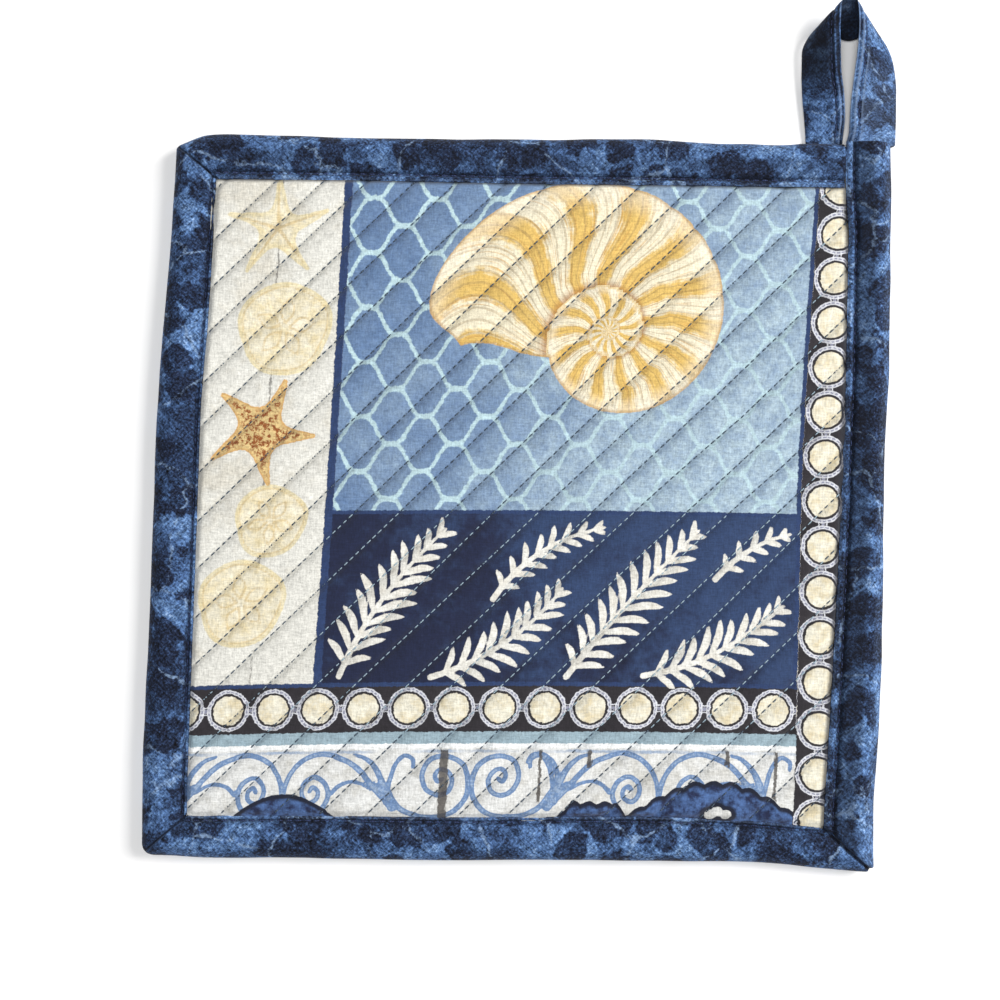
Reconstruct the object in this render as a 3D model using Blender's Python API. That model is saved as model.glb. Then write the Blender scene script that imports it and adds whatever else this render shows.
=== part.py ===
"""Quilted pot holder, lying on its back: a padded square sewn in slanting rows, a bound edge,
and a hanging loop that the end of the binding makes at one corner.

Sizes are in millimetres, X to the right, Y up the face and Z off the table, measured from
the middle of the padded square. The last step turns them into metres about the middle of
the whole thing's footprint.
"""
import math

import bmesh
import bpy
import numpy as np

# ---- driving dimensions, mm --------------------------------------------------------------
FOOTPRINT_CENTRE = (0.35, 20.8)     # middle of the bounding box, seen from the square's middle

ROW_ANGLE = math.radians(45.4)      # the sewn rows rise to the right
ROW_PITCH = 9.17                    # distance between rows, 3/8 inch less the take-up
ROW_OFFSET = 2.3                    # the middle row's distance from the square's middle
ROW_STEPS = 4                       # faces across one channel
CROSS_PITCH = 24.0                  # spacing of the cuts across the channels
HALF_DIAGONAL = 150.0               # the cuts reach this far from the middle, past the corners
ON_CUT = 0.0001                     # a point this close to a cut lies on it
MERGE = 0.15                        # points of the pattern closer than this become one

SEAM_TOP = 4.8                      # pad's upper face where the binding covers it
SEAM_BOTTOM = 1.2                   # pad's lower face where the binding covers it
GROOVE_TOP = 5.7                    # upper face along a sewn row
CREST_TOP = 7.1                     # upper face along a channel's middle
GROOVE_BOTTOM = 0.9                 # lower face along a sewn row; the channels rest at 0
GROOVE_SHARE = 0.65                 # how far up a channel's curve its lower face is off 0
CREST_ROUNDNESS = 0.8               # below 1, a channel's upper face is flatter at its crest
SWELL = 0.10                        # the upper face's rise varies by this share of itself
SWELL_WAVES = (17.0, 29.0, 13.0, 31.0)      # over these distances
SEAM_GAP = 0.4                      # the pad stays flat this far past the binding's fold
TOP_SETTLES = 6.0                   # in from the fold, where the upper face is at full height
BOTTOM_SETTLES = 5.0                # and where the lower face is
PAD_INSETS = (2.2, 5.5)             # further rings of points, in from the binding's fold
PAD_TUCK = 2.4                      # the pad's cut edge, in from the binding's outer edge
PAD_RIM = (2.1, 3.9)                # heights of the pad's cut edge, which is pressed thin
PAD_RIM_WIDTH = 1.8                 # how far in the pressed edge reaches full thickness
PAD_CORNER_CUT = 1.5                # the pad's corners are trimmed by this much
RING_POINTS = 11                    # points along each side of the pad's outline

BINDING_WIDTH = 12.5                # nominal, half an inch
BINDING_TOP = 6.0
BINDING_UNEVEN = 0.2                # how far the binding's crown rises and falls on its way
BINDING_WAVE = 19.0                 # over this distance
MITRE_RIDGE = 0.5                   # height of the ridge where the binding folds at a corner
RIDGE_SHARES = (0.0, 0.3, 1.0, 0.3, 0.0)    # share of that height at a corner's sections
FOLD_ROUND = 0.8                    # how far the fold's inner corner is rounded
SIDE_STEPS = 17                     # sections along one side of the binding
STRIP_START = 89.9                  # x where the top strip butts against the right one
STRIP_END = 102.5                   # y where the right strip leaves as the loop
CORNER_ALONG = 95.0                 # y at which the upright sides' reach is read for corners

TAIL_RECESS = (73.0, 77.2)          # x over which the binding rises to clear the loop's tail
TAIL_LIFT = 1.7                     # how far the tail raises the binding's lower face
TAIL_STATIONS = (84.0, 79.5, 77.2, 75.5, 73.0, 69.0, 64.0)  # x of sections over the tail
CORNER_LIFT = 1.0                   # extra height of the upper faces over the tail
BINDING_LIFT_X = (66.0, 76.0)       # x and y over which the binding's upper face rises
BINDING_LIFT_Y = (68.0, 86.0)
PAD_LIFT_SHARE = 0.9                # the pad's upper face rises by this share of it
PAD_LIFT_X = (70.0, 80.0)
PAD_LIFT_Y = (76.0, 90.0)
HOLLOW_START_X = (68.0, 75.0)       # x over which the pad's lower face rises over the tail
HOLLOW_END_X = (91.0, 97.0)         # and over which it comes down again
HOLLOW_Y = (78.0, 88.0)
HOLLOW_CLEARANCE = 0.2              # height kept free above the binding's own rise

# The four sides, in the order that the binding runs. "along" runs with the side; "outer" is
# the binding's outer edge and "fold" its inner one, both measured outwards from the middle.
#    along   outer   fold
TOP = (
    (90.0, 102.5, 89.7),
    (56.0, 102.2, 89.6),
    (32.0, 102.9, 89.3),
    (3.0, 102.1, 88.9),
    (-48.0, 101.4, 88.6),
    (-84.0, 101.5, 88.0),
    (-91.0, 101.0, 87.9),
    (-101.0, 97.4, 87.8),
)
LEFT = (
    (97.0, 100.4, 88.2),
    (76.0, 100.7, 88.4),
    (50.0, 101.9, 89.0),
    (20.0, 103.0, 90.2),
    (-22.0, 102.9, 90.1),
    (-74.0, 103.2, 90.1),
    (-98.0, 102.5, 89.8),
)
BOTTOM = (
    (-99.0, 102.0, 90.7),
    (-86.0, 102.2, 90.4),
    (-55.0, 101.5, 89.5),
    (-17.0, 101.0, 88.8),
    (12.0, 100.0, 87.8),
    (40.0, 99.4, 87.0),
    (66.0, 98.9, 87.3),
    (84.0, 99.8, 88.4),
    (99.0, 100.7, 88.8),
)
RIGHT = (
    (-99.0, 100.8, 86.1),
    (-86.0, 100.3, 86.3),
    (-67.0, 101.2, 87.1),
    (-36.0, 102.0, 88.3),
    (10.0, 101.8, 89.7),
    (40.0, 102.7, 90.2),
    (84.0, 102.5, 90.5),
    (102.5, 101.8, 90.5),
)
# Each side with the axis it runs along and the sign of its outward direction.
SIDES = ((TOP, 0, 1), (LEFT, 1, -1), (BOTTOM, 0, -1), (RIGHT, 1, 1))
# How far the outer corner at each side's end is rounded: top left, bottom left, bottom right.
CORNER_ROUND = (1.2, 4.0, 1.5)

# Cross-section of the binding where it is as wide as BINDING_WIDTH: from the lower fold round
# the outside to the upper fold, and back inside round the pad's edge.
#     in     z
BINDING_SECTION = (
    (12.5, 0.0),
    (7.5, 0.0),
    (2.6, 0.0),
    (0.8, 0.8),
    (0.0, 2.2),
    (0.0, 3.8),
    (0.8, 5.2),
    (2.6, 5.95),
    (5.6, 6.0),
    (9.4, 6.0),
    (11.9, 5.95),
    (12.5, 5.7),
    (12.5, 5.1),
    (3.6, 5.1),
    (1.9, 4.5),
    (1.0, 3.6),
    (1.0, 2.4),
    (1.9, 1.5),
    (3.6, 0.9),
    (12.5, 0.9),
)
CROWN_ROWS = slice(7, 11)           # the rows of that section on the binding's upper face

# The loop's strap, from its sewn tail over the arch and back to the right-hand strip. The
# low edge lies on the table, outside each leg; the high edge stands up along the slit.
# "bulge" swells the strap's middle outwards.
#    low edge x,  y,    z     high edge x,  y,    z   thick bulge
STRAP = (
    (78.5, 91.8, 0.70, 88.9, 91.8, 0.70, 1.4, 0.0),
    (78.5, 98.0, 0.70, 88.9, 98.0, 0.70, 1.4, 0.0),
    (78.5, 102.8, 0.70, 88.9, 102.8, 0.70, 1.4, 0.0),
    (78.0, 109.5, 0.95, 88.6, 110.0, 2.60, 1.6, 0.2),
    (77.3, 116.0, 1.00, 88.1, 116.5, 4.60, 1.6, 0.4),
    (76.9, 123.0, 1.00, 87.1, 123.5, 6.40, 1.6, 0.5),
    (76.9, 129.2, 1.05, 86.5, 130.5, 7.80, 1.6, 0.5),
    (78.4, 133.4, 1.05, 86.2, 136.4, 8.50, 1.6, 0.5),
    (81.9, 135.4, 0.95, 86.2, 140.6, 8.80, 1.6, 0.5),
    (86.0, 134.6, 0.90, 87.0, 143.0, 8.90, 1.6, 0.4),
    (90.0, 133.4, 0.90, 89.0, 143.9, 8.90, 1.6, 0.2),
    (94.0, 134.4, 0.90, 90.8, 142.6, 8.80, 1.6, 0.4),
    (98.2, 133.4, 0.95, 91.4, 139.4, 8.50, 1.6, 0.4),
    (101.6, 130.2, 1.05, 91.6, 134.8, 7.90, 1.6, 0.4),
    (103.2, 125.2, 1.05, 91.4, 128.8, 7.00, 1.6, 0.5),
    (103.9, 118.8, 1.00, 90.8, 121.5, 5.60, 1.6, 0.4),
    (103.9, 112.0, 1.25, 90.4, 113.0, 4.00, 1.9, 0.3),
    (103.6, 106.6, 2.05, 90.6, 107.0, 3.40, 3.3, 0.1),
    (103.2, 102.9, 3.20, 90.8, 102.9, 3.40, 6.0, 0.0),
)
STRAP_STEPS = 46                    # sections along the loop
STRAP_SHARES = (0.06, 0.28, 0.5, 0.72, 0.94)    # where a section's faces are split

# Edges that turn more than this are seen as sharp.
SHARP_ANGLE = math.radians(50)

# ---- colours of the cloth: name, linear RGB, roughness, metallic --------------------------
PRINTED_COTTON = ("printed_cotton", (0.42, 0.47, 0.50), 0.90, 0.0)
NAVY_COTTON = ("navy_cotton", (0.035, 0.060, 0.150), 0.88, 0.0)


# ---- helpers ------------------------------------------------------------------------------
def smooth_table(table, x):
    """Smooth curves through a table's rows, one for each column after the first, which is the
    key: cubic pieces that never overshoot the rows, because the slope at each row is the
    harmonic mean of the two steps beside it, or none where they turn back."""
    rows = np.array(table, float)
    rows = rows[np.argsort(rows[:, 0])]
    key, values = rows[:, 0], rows[:, 1:]
    steps = np.diff(values, axis=0) / np.diff(key)[:, None]
    before, after = steps[:-1], steps[1:]
    same_way = before * after > 0.0
    total = np.where(same_way, before + after, 1.0)
    inner = np.where(same_way, 2.0 * before * after / total, 0.0)
    slope = np.concatenate([steps[:1], inner, steps[-1:]])
    x = np.clip(np.asarray(x, float), key[0], key[-1])
    low = np.clip(np.searchsorted(key, x, side="right") - 1, 0, len(key) - 2)
    span = key[low + 1] - key[low]
    t = ((x - key[low]) / span)[..., None]
    span = span[..., None]
    curve = (
        (2 * t**3 - 3 * t**2 + 1) * values[low]
        + (t**3 - 2 * t**2 + t) * span * slope[low]
        + (3 * t**2 - 2 * t**3) * values[low + 1]
        + (t**3 - t**2) * span * slope[low + 1]
    )
    return np.moveaxis(curve, -1, 0)


def ramp(x, start, end):
    """0 before start, 1 past end, and a smooth S between them."""
    t = np.clip((np.asarray(x, float) - start) / (end - start), 0.0, 1.0)
    return t * t * (3.0 - 2.0 * t)


def cotton(look):
    """One Principled material from a row of name, colour, roughness and metallic value."""
    name, colour, roughness, metallic = look
    material = bpy.data.materials.get(name) or bpy.data.materials.new(name)
    material.use_nodes = True
    shader = material.node_tree.nodes["Principled BSDF"]
    shader.inputs["Base Color"].default_value = (*colour, 1.0)
    shader.inputs["Roughness"].default_value = roughness
    shader.inputs["Metallic"].default_value = metallic
    return material


def add_piece(name, points, faces, look, parent):
    """A closed piece in metres from points in millimetres, its faces turned outwards."""
    mesh = bpy.data.meshes.new(name)
    mesh.from_pydata((np.asarray(points, float) * 0.001).tolist(), [], faces)
    shell = bmesh.new()
    shell.from_mesh(mesh)
    bmesh.ops.recalc_face_normals(shell, faces=shell.faces)
    shell.to_mesh(mesh)
    shell.free()
    mesh.shade_smooth()
    mesh.set_sharp_from_angle(angle=SHARP_ANGLE)
    mesh.materials.append(cotton(look))
    piece = bpy.data.objects.new(name, mesh)
    bpy.context.scene.collection.objects.link(piece)
    piece.parent = parent
    return piece


def loft(sections):
    """Points and faces of a skin over closed sections of equal counts, with both ends shut."""
    count, size = len(sections), len(sections[0])
    faces = []
    for row in range(count - 1):
        for k in range(size):
            after = (k + 1) % size
            here, there = row * size, (row + 1) * size
            faces.append((here + k, here + after, there + after, there + k))
    faces.append(tuple(range(size)))
    faces.append(tuple((count - 1) * size + k for k in range(size)))
    return np.concatenate(sections), faces


# ---- the square's outline -----------------------------------------------------------------
def reach(side, along, tuck):
    """How far out a side lies: its fold at tuck 0 and its outer edge at tuck 1."""
    outer, fold = smooth_table(side, along)
    return fold + (outer - fold) * tuck


def corner(across, upright, signs, tuck, inset):
    """Where a top or bottom side meets a left or right one."""
    x = signs[0] * (reach(upright, signs[1] * CORNER_ALONG, tuck) - inset)
    y = signs[1] * (reach(across, x, tuck) - inset)
    return np.array([float(x), float(y)])


def corners(tuck, inset=0.0):
    """The four corners: top right, top left, bottom left and bottom right."""
    return [
        corner(TOP, RIGHT, (1, 1), tuck, inset),
        corner(TOP, LEFT, (-1, 1), tuck, inset),
        corner(BOTTOM, LEFT, (-1, -1), tuck, inset),
        corner(BOTTOM, RIGHT, (1, -1), tuck, inset),
    ]


def side_points(side, axis, sign, along, tuck, inset=0.0):
    """Points at the given places along one side."""
    points = np.empty((len(along), 2))
    points[:, axis] = along
    points[:, 1 - axis] = sign * (reach(side, along, tuck) - inset)
    return points


def ring(tuck, inset=0.0, corner_cut=0.0):
    """Points round the square, closer together towards the corners."""
    share = 0.5 - 0.5 * np.cos(np.pi * np.arange(RING_POINTS) / RING_POINTS)
    tips = corners(tuck, inset)
    points = []
    for k, (side, axis, sign) in enumerate(SIDES):
        start, end = tips[k][axis], tips[(k + 1) % 4][axis]
        run = side_points(side, axis, sign, start + (end - start) * share, tuck, inset)
        run[0] -= np.sign(run[0]) * corner_cut
        points.append(run)
    return np.concatenate(points)


def edge_distance(x, y, column):
    """Distance inwards from the outer edge (column 0) or from the fold (column 1)."""
    return np.minimum.reduce([
        smooth_table(TOP, x)[column] - y,
        smooth_table(BOTTOM, x)[column] + y,
        smooth_table(LEFT, y)[column] + x,
        smooth_table(RIGHT, y)[column] - x,
    ])


# ---- the padded square --------------------------------------------------------------------
def flat_pattern():
    """The pad seen from above: rings inside its outline, cut by every sewn row, by the lines
    between rows, and by lines across them. Returns points, faces and the outline's edges."""
    rings = [ring(1.0, PAD_TUCK, PAD_CORNER_CUT), ring(1.0, PAD_TUCK + PAD_RIM_WIDTH)]
    rings += [ring(0.0, inset) for inset in (SEAM_GAP,) + PAD_INSETS]
    pattern = bmesh.new()
    loops = [[pattern.verts.new((x, y, 0.0)) for x, y in points] for points in rings]
    size = len(loops[0])
    for outside, inside in zip(loops, loops[1:]):
        for k in range(size):
            after = (k + 1) % size
            pattern.faces.new((outside[k], outside[after], inside[after], inside[k]))
    pattern.faces.new(loops[-1])

    across = np.array([-math.sin(ROW_ANGLE), math.cos(ROW_ANGLE)])
    along = np.array([math.cos(ROW_ANGLE), math.sin(ROW_ANGLE)])
    step = ROW_PITCH / ROW_STEPS
    count = int(HALF_DIAGONAL / step)
    cuts = [(across, ROW_OFFSET + k * step) for k in range(-count, count + 1)]
    count = int(HALF_DIAGONAL / CROSS_PITCH)
    cuts += [(along, (k + 0.5) * CROSS_PITCH) for k in range(-count, count)]
    for normal, place in cuts:
        everything = pattern.verts[:] + pattern.edges[:] + pattern.faces[:]
        bmesh.ops.bisect_plane(
            pattern,
            geom=everything,
            dist=ON_CUT,
            plane_co=(*(normal * place), 0.0),
            plane_no=(*normal, 0.0),
        )
    bmesh.ops.remove_doubles(pattern, verts=pattern.verts, dist=MERGE)
    pattern.verts.index_update()
    points = np.array([vert.co[:2] for vert in pattern.verts])
    faces = [tuple(vert.index for vert in face.verts) for face in pattern.faces]
    outline = [
        (edge.link_loops[0].vert.index, edge.link_loops[0].link_loop_next.vert.index)
        for edge in pattern.edges
        if len(edge.link_faces) == 1
    ]
    pattern.free()
    return points, faces, outline


def channel(x, y):
    """0 along a sewn row and 1 along the middle of the channel between two rows."""
    place = -math.sin(ROW_ANGLE) * x + math.cos(ROW_ANGLE) * y
    return np.abs(np.sin(np.pi * (place - ROW_OFFSET) / ROW_PITCH))


def pad_rim(x, y, rim, seam):
    """Height of the covered part of a face, from the pressed cut edge to full thickness."""
    share = np.clip((edge_distance(x, y, 0) - PAD_TUCK) / PAD_RIM_WIDTH, 0.0, 1.0)
    return rim + (seam - rim) * share


def pad_top(x, y):
    """The upper face: flat under the binding, then rounded channels between sewn rows."""
    a, b, c, d = SWELL_WAVES
    uneven = 1.0 + SWELL * np.sin(x / a + y / b) * np.sin(y / c - x / d)
    arch = channel(x, y) ** CREST_ROUNDNESS
    quilted = GROOVE_TOP + (CREST_TOP - GROOVE_TOP) * arch * uneven
    covered = pad_rim(x, y, PAD_RIM[1], SEAM_TOP)
    height = covered + (quilted - covered) * ramp(edge_distance(x, y, 1), SEAM_GAP, TOP_SETTLES)
    over_tail = ramp(x, *PAD_LIFT_X) * ramp(y, *PAD_LIFT_Y)
    return height + PAD_LIFT_SHARE * CORNER_LIFT * over_tail


def pad_bottom(x, y):
    """The lower face: channels that rest on the table, and a shallow groove along each row."""
    quilted = GROOVE_BOTTOM * (1.0 - np.minimum(1.0, channel(x, y) / GROOVE_SHARE))
    covered = pad_rim(x, y, PAD_RIM[0], SEAM_BOTTOM)
    height = covered + (quilted - covered) * ramp(edge_distance(x, y, 1), SEAM_GAP, BOTTOM_SETTLES)
    across_tail = ramp(x, *HOLLOW_START_X) * (1.0 - ramp(x, *HOLLOW_END_X))
    return height + (TAIL_LIFT + HOLLOW_CLEARANCE) * across_tail * ramp(y, *HOLLOW_Y)


def build_pad(parent):
    """The pad: its pattern raised to both faces, with a wall round its cut edge."""
    flat, faces, outline = flat_pattern()
    x, y = flat.T
    count = len(flat)
    points = np.concatenate([
        np.column_stack([x, y, pad_top(x, y)]),
        np.column_stack([x, y, pad_bottom(x, y)]),
    ])
    skin = list(faces)
    skin += [tuple(count + k for k in reversed(face)) for face in faces]
    skin += [(b, a, count + a, count + b) for a, b in outline]
    return add_piece("quilted_pad", points, skin, PRINTED_COTTON, parent)


# ---- the binding --------------------------------------------------------------------------
def curve_round(start, tip, end, count):
    """Points between two ends of a corner, on a parabola that leans towards its tip."""
    t = (np.arange(count) + 1.0)[:, None] / (count + 1.0)
    return (1 - t) ** 2 * start + 2 * t * (1 - t) * tip + t**2 * end


def towards(tip, other, distance, axis):
    """The place along a side that lies a distance from its corner, towards the other one."""
    return tip[axis] + np.sign(other[axis] - tip[axis]) * distance


def binding_path():
    """Outer and fold points of each section, the ridge's height there, and whether it is on
    the top side. Corners turn about the fold's corner in a few sections."""
    outer_tips, fold_tips = corners(1.0), corners(0.0)
    size = len(RIDGE_SHARES)
    outer, fold, ridge, on_top = [], [], [], []
    for k, (side, axis, sign) in enumerate(SIDES):
        after = (k + 1) % 4
        runs = []
        for tips, tuck, rounds in (
            (outer_tips, 1.0, CORNER_ROUND),
            (fold_tips, 0.0, (FOLD_ROUND,) * 3),
        ):
            start = STRIP_START if k == 0 else towards(
                tips[k], tips[after], rounds[k - 1], axis)
            end = STRIP_END if k == 3 else towards(tips[after], tips[k], rounds[k], axis)
            if k == 0:
                rest = np.linspace(TAIL_STATIONS[-1], end, SIDE_STEPS - 2)
                along = np.concatenate([[STRIP_START], TAIL_STATIONS[:-1], rest])
            else:
                along = np.linspace(start, end, SIDE_STEPS)
            runs.append(side_points(side, axis, sign, along, tuck))
        outer.append(runs[0])
        fold.append(runs[1])
        ridge.append(np.zeros(len(runs[0])))
        on_top.append(np.full(len(runs[0]), k == 0))
    turned_outer, turned_fold = [outer[0]], [fold[0]]
    turned_ridge, turned_top = [ridge[0]], [on_top[0]]
    for k in (1, 2, 3):
        turned_outer += [curve_round(outer[k - 1][-1], outer_tips[k], outer[k][0], size), outer[k]]
        turned_fold += [curve_round(fold[k - 1][-1], fold_tips[k], fold[k][0], size), fold[k]]
        turned_ridge += [MITRE_RIDGE * np.array(RIDGE_SHARES), ridge[k]]
        turned_top += [np.full(size, False), on_top[k]]
    return (np.concatenate(turned_outer), np.concatenate(turned_fold),
            np.concatenate(turned_ridge), np.concatenate(turned_top))


def build_binding(parent):
    """The binding: its folded section carried along the path, raised over the loop's tail."""
    outer, fold, ridge, on_top = binding_path()
    inwards, height = np.array(BINDING_SECTION).T
    run = np.concatenate([[0.0], np.cumsum(np.linalg.norm(np.diff(outer, axis=0), axis=1))])
    sections = []
    for k in range(len(outer)):
        flat = outer[k] + (fold[k] - outer[k]) * (inwards / BINDING_WIDTH)[:, None]
        x, y = flat.T
        z = height.copy()
        z[CROWN_ROWS] += ridge[k] + BINDING_UNEVEN * math.sin(run[k] / BINDING_WAVE)
        high = CORNER_LIFT * ramp(x, *BINDING_LIFT_X) * ramp(y, *BINDING_LIFT_Y)
        low = TAIL_LIFT * ramp(x, *TAIL_RECESS) if on_top[k] else 0.0
        z += low + (high - low) * height / BINDING_TOP
        sections.append(np.column_stack([x, y, z]))
    points, faces = loft(sections)
    return add_piece("binding", points, faces, NAVY_COTTON, parent)


# ---- the hanging loop ---------------------------------------------------------------------
def build_loop(parent):
    """The loop: a strap ruled between its low and high edges, swollen outwards by its bulge,
    with its thickness set square to its middle."""
    rows = np.array(STRAP)
    middle = (rows[:, 0:3] + rows[:, 3:6]) / 2
    run = np.concatenate([[0.0], np.cumsum(np.linalg.norm(np.diff(middle, axis=0), axis=1))])
    columns = smooth_table(np.column_stack([run, rows]), np.linspace(0, run[-1], STRAP_STEPS))
    low, high, thick, bulge = columns[0:3].T, columns[3:6].T, columns[6], columns[7]
    forward = np.gradient((low + high) / 2, axis=0)
    forward[[0, -1]] = ((0.0, 1.0, 0.0), (0.0, -1.0, 0.0))      # both ends are cut square
    outwards = np.cross(high - low, forward)
    outwards /= np.linalg.norm(outwards, axis=1)[:, None]
    shares = np.array(STRAP_SHARES)
    sections = []
    for k in range(STRAP_STEPS):
        swell = bulge[k] * 4 * shares * (1 - shares)
        spine = low[k] + (high[k] - low[k]) * shares[:, None] + swell[:, None] * outwards[k]
        half = outwards[k] * thick[k] / 2
        sections.append(np.concatenate([[low[k]], spine + half, [high[k]], spine[::-1] - half]))
    points, faces = loft(sections)
    return add_piece("hanging_loop", points, faces, NAVY_COTTON, parent)


def build():
    """Clear the scene and build the three pieces about the footprint's middle."""
    for thing in list(bpy.data.objects):
        bpy.data.objects.remove(thing, do_unlink=True)
    holder = bpy.data.objects.new("pot_holder", None)
    bpy.context.scene.collection.objects.link(holder)
    holder.location = (-0.001 * FOOTPRINT_CENTRE[0], -0.001 * FOOTPRINT_CENTRE[1], 0.0)
    build_pad(holder)
    build_binding(holder)
    build_loop(holder)


build()
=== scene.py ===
"""Looks of a quilted pot holder: printed front, plain back, marbled binding and hanging loop.

Working sizes are in millimetres from the middle of the padded square, X to the right, Y up
the face and Z off the table; to_metres() turns them into the frame's own metres.
"""
import math

import bpy
import numpy as np
from mathutils import Matrix, Vector


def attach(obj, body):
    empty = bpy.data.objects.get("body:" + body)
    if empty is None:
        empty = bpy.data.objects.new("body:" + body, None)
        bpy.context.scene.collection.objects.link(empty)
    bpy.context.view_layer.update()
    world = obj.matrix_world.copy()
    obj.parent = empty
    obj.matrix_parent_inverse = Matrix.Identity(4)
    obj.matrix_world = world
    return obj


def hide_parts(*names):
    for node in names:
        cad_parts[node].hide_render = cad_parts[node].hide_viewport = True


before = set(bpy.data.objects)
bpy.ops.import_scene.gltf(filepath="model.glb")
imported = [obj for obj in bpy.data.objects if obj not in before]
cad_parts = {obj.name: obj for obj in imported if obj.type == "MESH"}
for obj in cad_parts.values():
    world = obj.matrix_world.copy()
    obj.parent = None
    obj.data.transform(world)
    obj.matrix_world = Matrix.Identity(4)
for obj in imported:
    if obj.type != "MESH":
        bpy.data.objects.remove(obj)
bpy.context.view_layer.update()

# ---- the part's own sizes, mm ------------------------------------------------------------
FOOTPRINT_CENTRE = (0.35, 20.8)
ROW_ANGLE = math.radians(45.4)
ROW_PITCH = 9.17
ROW_OFFSET = 2.3
STITCH_PITCH = 2.17
BINDING_WIDTH = 12.5
CORNER_LIFT = 1.0
TAIL_RECESS = (73.0, 77.2)
TAIL_LIFT = 1.7
BINDING_LIFT_X, BINDING_LIFT_Y = (66.0, 76.0), (68.0, 86.0)     # its top rises over the tail
PAD_LIFT_SHARE = 0.9                    # the pad's upper face rises by this share of CORNER_LIFT
PAD_LIFT_X, PAD_LIFT_Y = (70.0, 80.0), (76.0, 90.0)
HOLLOW_START_X, HOLLOW_END_X, HOLLOW_Y = (68.0, 75.0), (91.0, 97.0), (78.0, 88.0)
HOLLOW_CLEARANCE = 0.2                  # kept free between the pad's lower face and the tail
CORNER_ALONG = 95.0                     # y at which the upright sides' reach is read for corners

# The four sides as along, outer edge, fold: measured along each side and outwards from the
# middle.
TOP = ((90, 102.5, 89.7), (56, 102.2, 89.6), (32, 102.9, 89.3), (3, 102.1, 88.9),
       (-48, 101.4, 88.6), (-84, 101.5, 88.0), (-91, 101.0, 87.9), (-101, 97.4, 87.8))
LEFT = ((97, 100.4, 88.2), (76, 100.7, 88.4), (50, 101.9, 89.0), (20, 103.0, 90.2),
        (-22, 102.9, 90.1), (-74, 103.2, 90.1), (-98, 102.5, 89.8))
BOTTOM = ((-99, 102.0, 90.7), (-86, 102.2, 90.4), (-55, 101.5, 89.5), (-17, 101.0, 88.8),
          (12, 100.0, 87.8), (40, 99.4, 87.0), (66, 98.9, 87.3), (84, 99.8, 88.4),
          (99, 100.7, 88.8))
RIGHT = ((-99, 100.8, 86.1), (-86, 100.3, 86.3), (-67, 101.2, 87.1), (-36, 102.0, 88.3),
         (10, 101.8, 89.7), (40, 102.7, 90.2), (76, 102.5, 90.2), (86, 102.4, 89.2),
         (96, 102.0, 88.85), (102.5, 101.8, 88.85))
SIDES = ((TOP, 0, 1), (LEFT, 1, -1), (BOTTOM, 0, -1), (RIGHT, 1, 1))
CORNER_ROUND = (1.2, 4.0, 1.5)          # top left, bottom left, bottom right
STRIP_START = 88.5                      # x where the top strip butts against the right one
STRIP_END = 102.75                      # y where the right strip leaves as the loop

# The loop's strap: low edge x, y, z, high edge x, y, z, thickness, bulge.
STRAP = (
    (78.5, 91.8, 0.70, 88.9, 91.8, 0.70, 1.4, 0.0),
    (78.5, 98.0, 0.70, 88.9, 98.0, 0.70, 1.4, 0.0),
    (78.5, 102.8, 0.70, 88.9, 102.8, 0.70, 1.4, 0.0),
    (78.0, 109.5, 0.95, 89.2, 110.0, 2.60, 1.6, 0.2),
    (77.3, 116.0, 1.00, 88.5, 116.5, 4.60, 1.6, 0.4),
    (76.9, 123.0, 1.00, 87.1, 123.5, 6.40, 1.6, 0.5),
    (76.9, 129.2, 1.05, 86.5, 130.5, 7.80, 1.6, 0.5),
    (78.4, 133.4, 1.05, 86.2, 136.4, 8.50, 1.6, 0.5),
    (81.9, 135.4, 0.95, 86.2, 140.6, 8.80, 1.6, 0.5),
    (86.0, 134.6, 0.90, 87.0, 143.0, 8.90, 1.6, 0.4),
    (90.0, 133.4, 0.90, 89.0, 143.9, 8.90, 1.6, 0.2),
    (94.0, 134.4, 0.90, 90.8, 142.6, 8.80, 1.6, 0.4),
    (98.2, 133.4, 0.95, 91.4, 139.4, 8.50, 1.6, 0.4),
    (101.6, 130.2, 1.05, 91.6, 134.8, 7.90, 1.6, 0.4),
    (103.2, 125.2, 1.05, 91.4, 128.8, 7.00, 1.6, 0.5),
    (103.9, 118.8, 1.00, 90.8, 121.5, 5.60, 1.6, 0.4),
    (103.9, 112.0, 1.25, 90.3, 113.0, 4.00, 1.9, 0.3),
    (103.6, 106.6, 2.05, 90.2, 107.0, 3.40, 3.3, 0.1),
    (103.2, 102.8, 3.20, 89.4, 102.8, 3.40, 5.8, 0.0),
)

# How far each sewn row wanders from its even place at three points along it: 60 mm before its
# middle, at its middle, and 60 mm past it.
DRIFT_REACH = 60.0
FIRST_ROW = -13
ROW_DRIFT = (
    (0, 0, 0), (0, 0, 0), (.5, .5, .5), (.3, .2, 0), (.95, .4, .1), (.7, 0, .2),
    (1.1, .9, 1.2), (1.2, .8, 0), (1.0, 1.3, -.7), (.6, -.1, -1.1), (.5, .9, -1.3),
    (.2, -.5, -1.2), (1.2, .5, -.6), (-.6, 0, -.1), (-.4, -.9, -.3), (-.2, -.1, .2),
    (-.6, -.6, 0), (-.4, .2, 1.1), (0, .25, .75), (.4, 1.0, 1.1), (1.0, 1.05, .3),
    (.7, 1.1, 1.0), (.15, .15, .05), (.3, .3, .3), (-.2, -.2, -.15), (0, 0, 0), (1, 1, 1),
)


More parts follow.
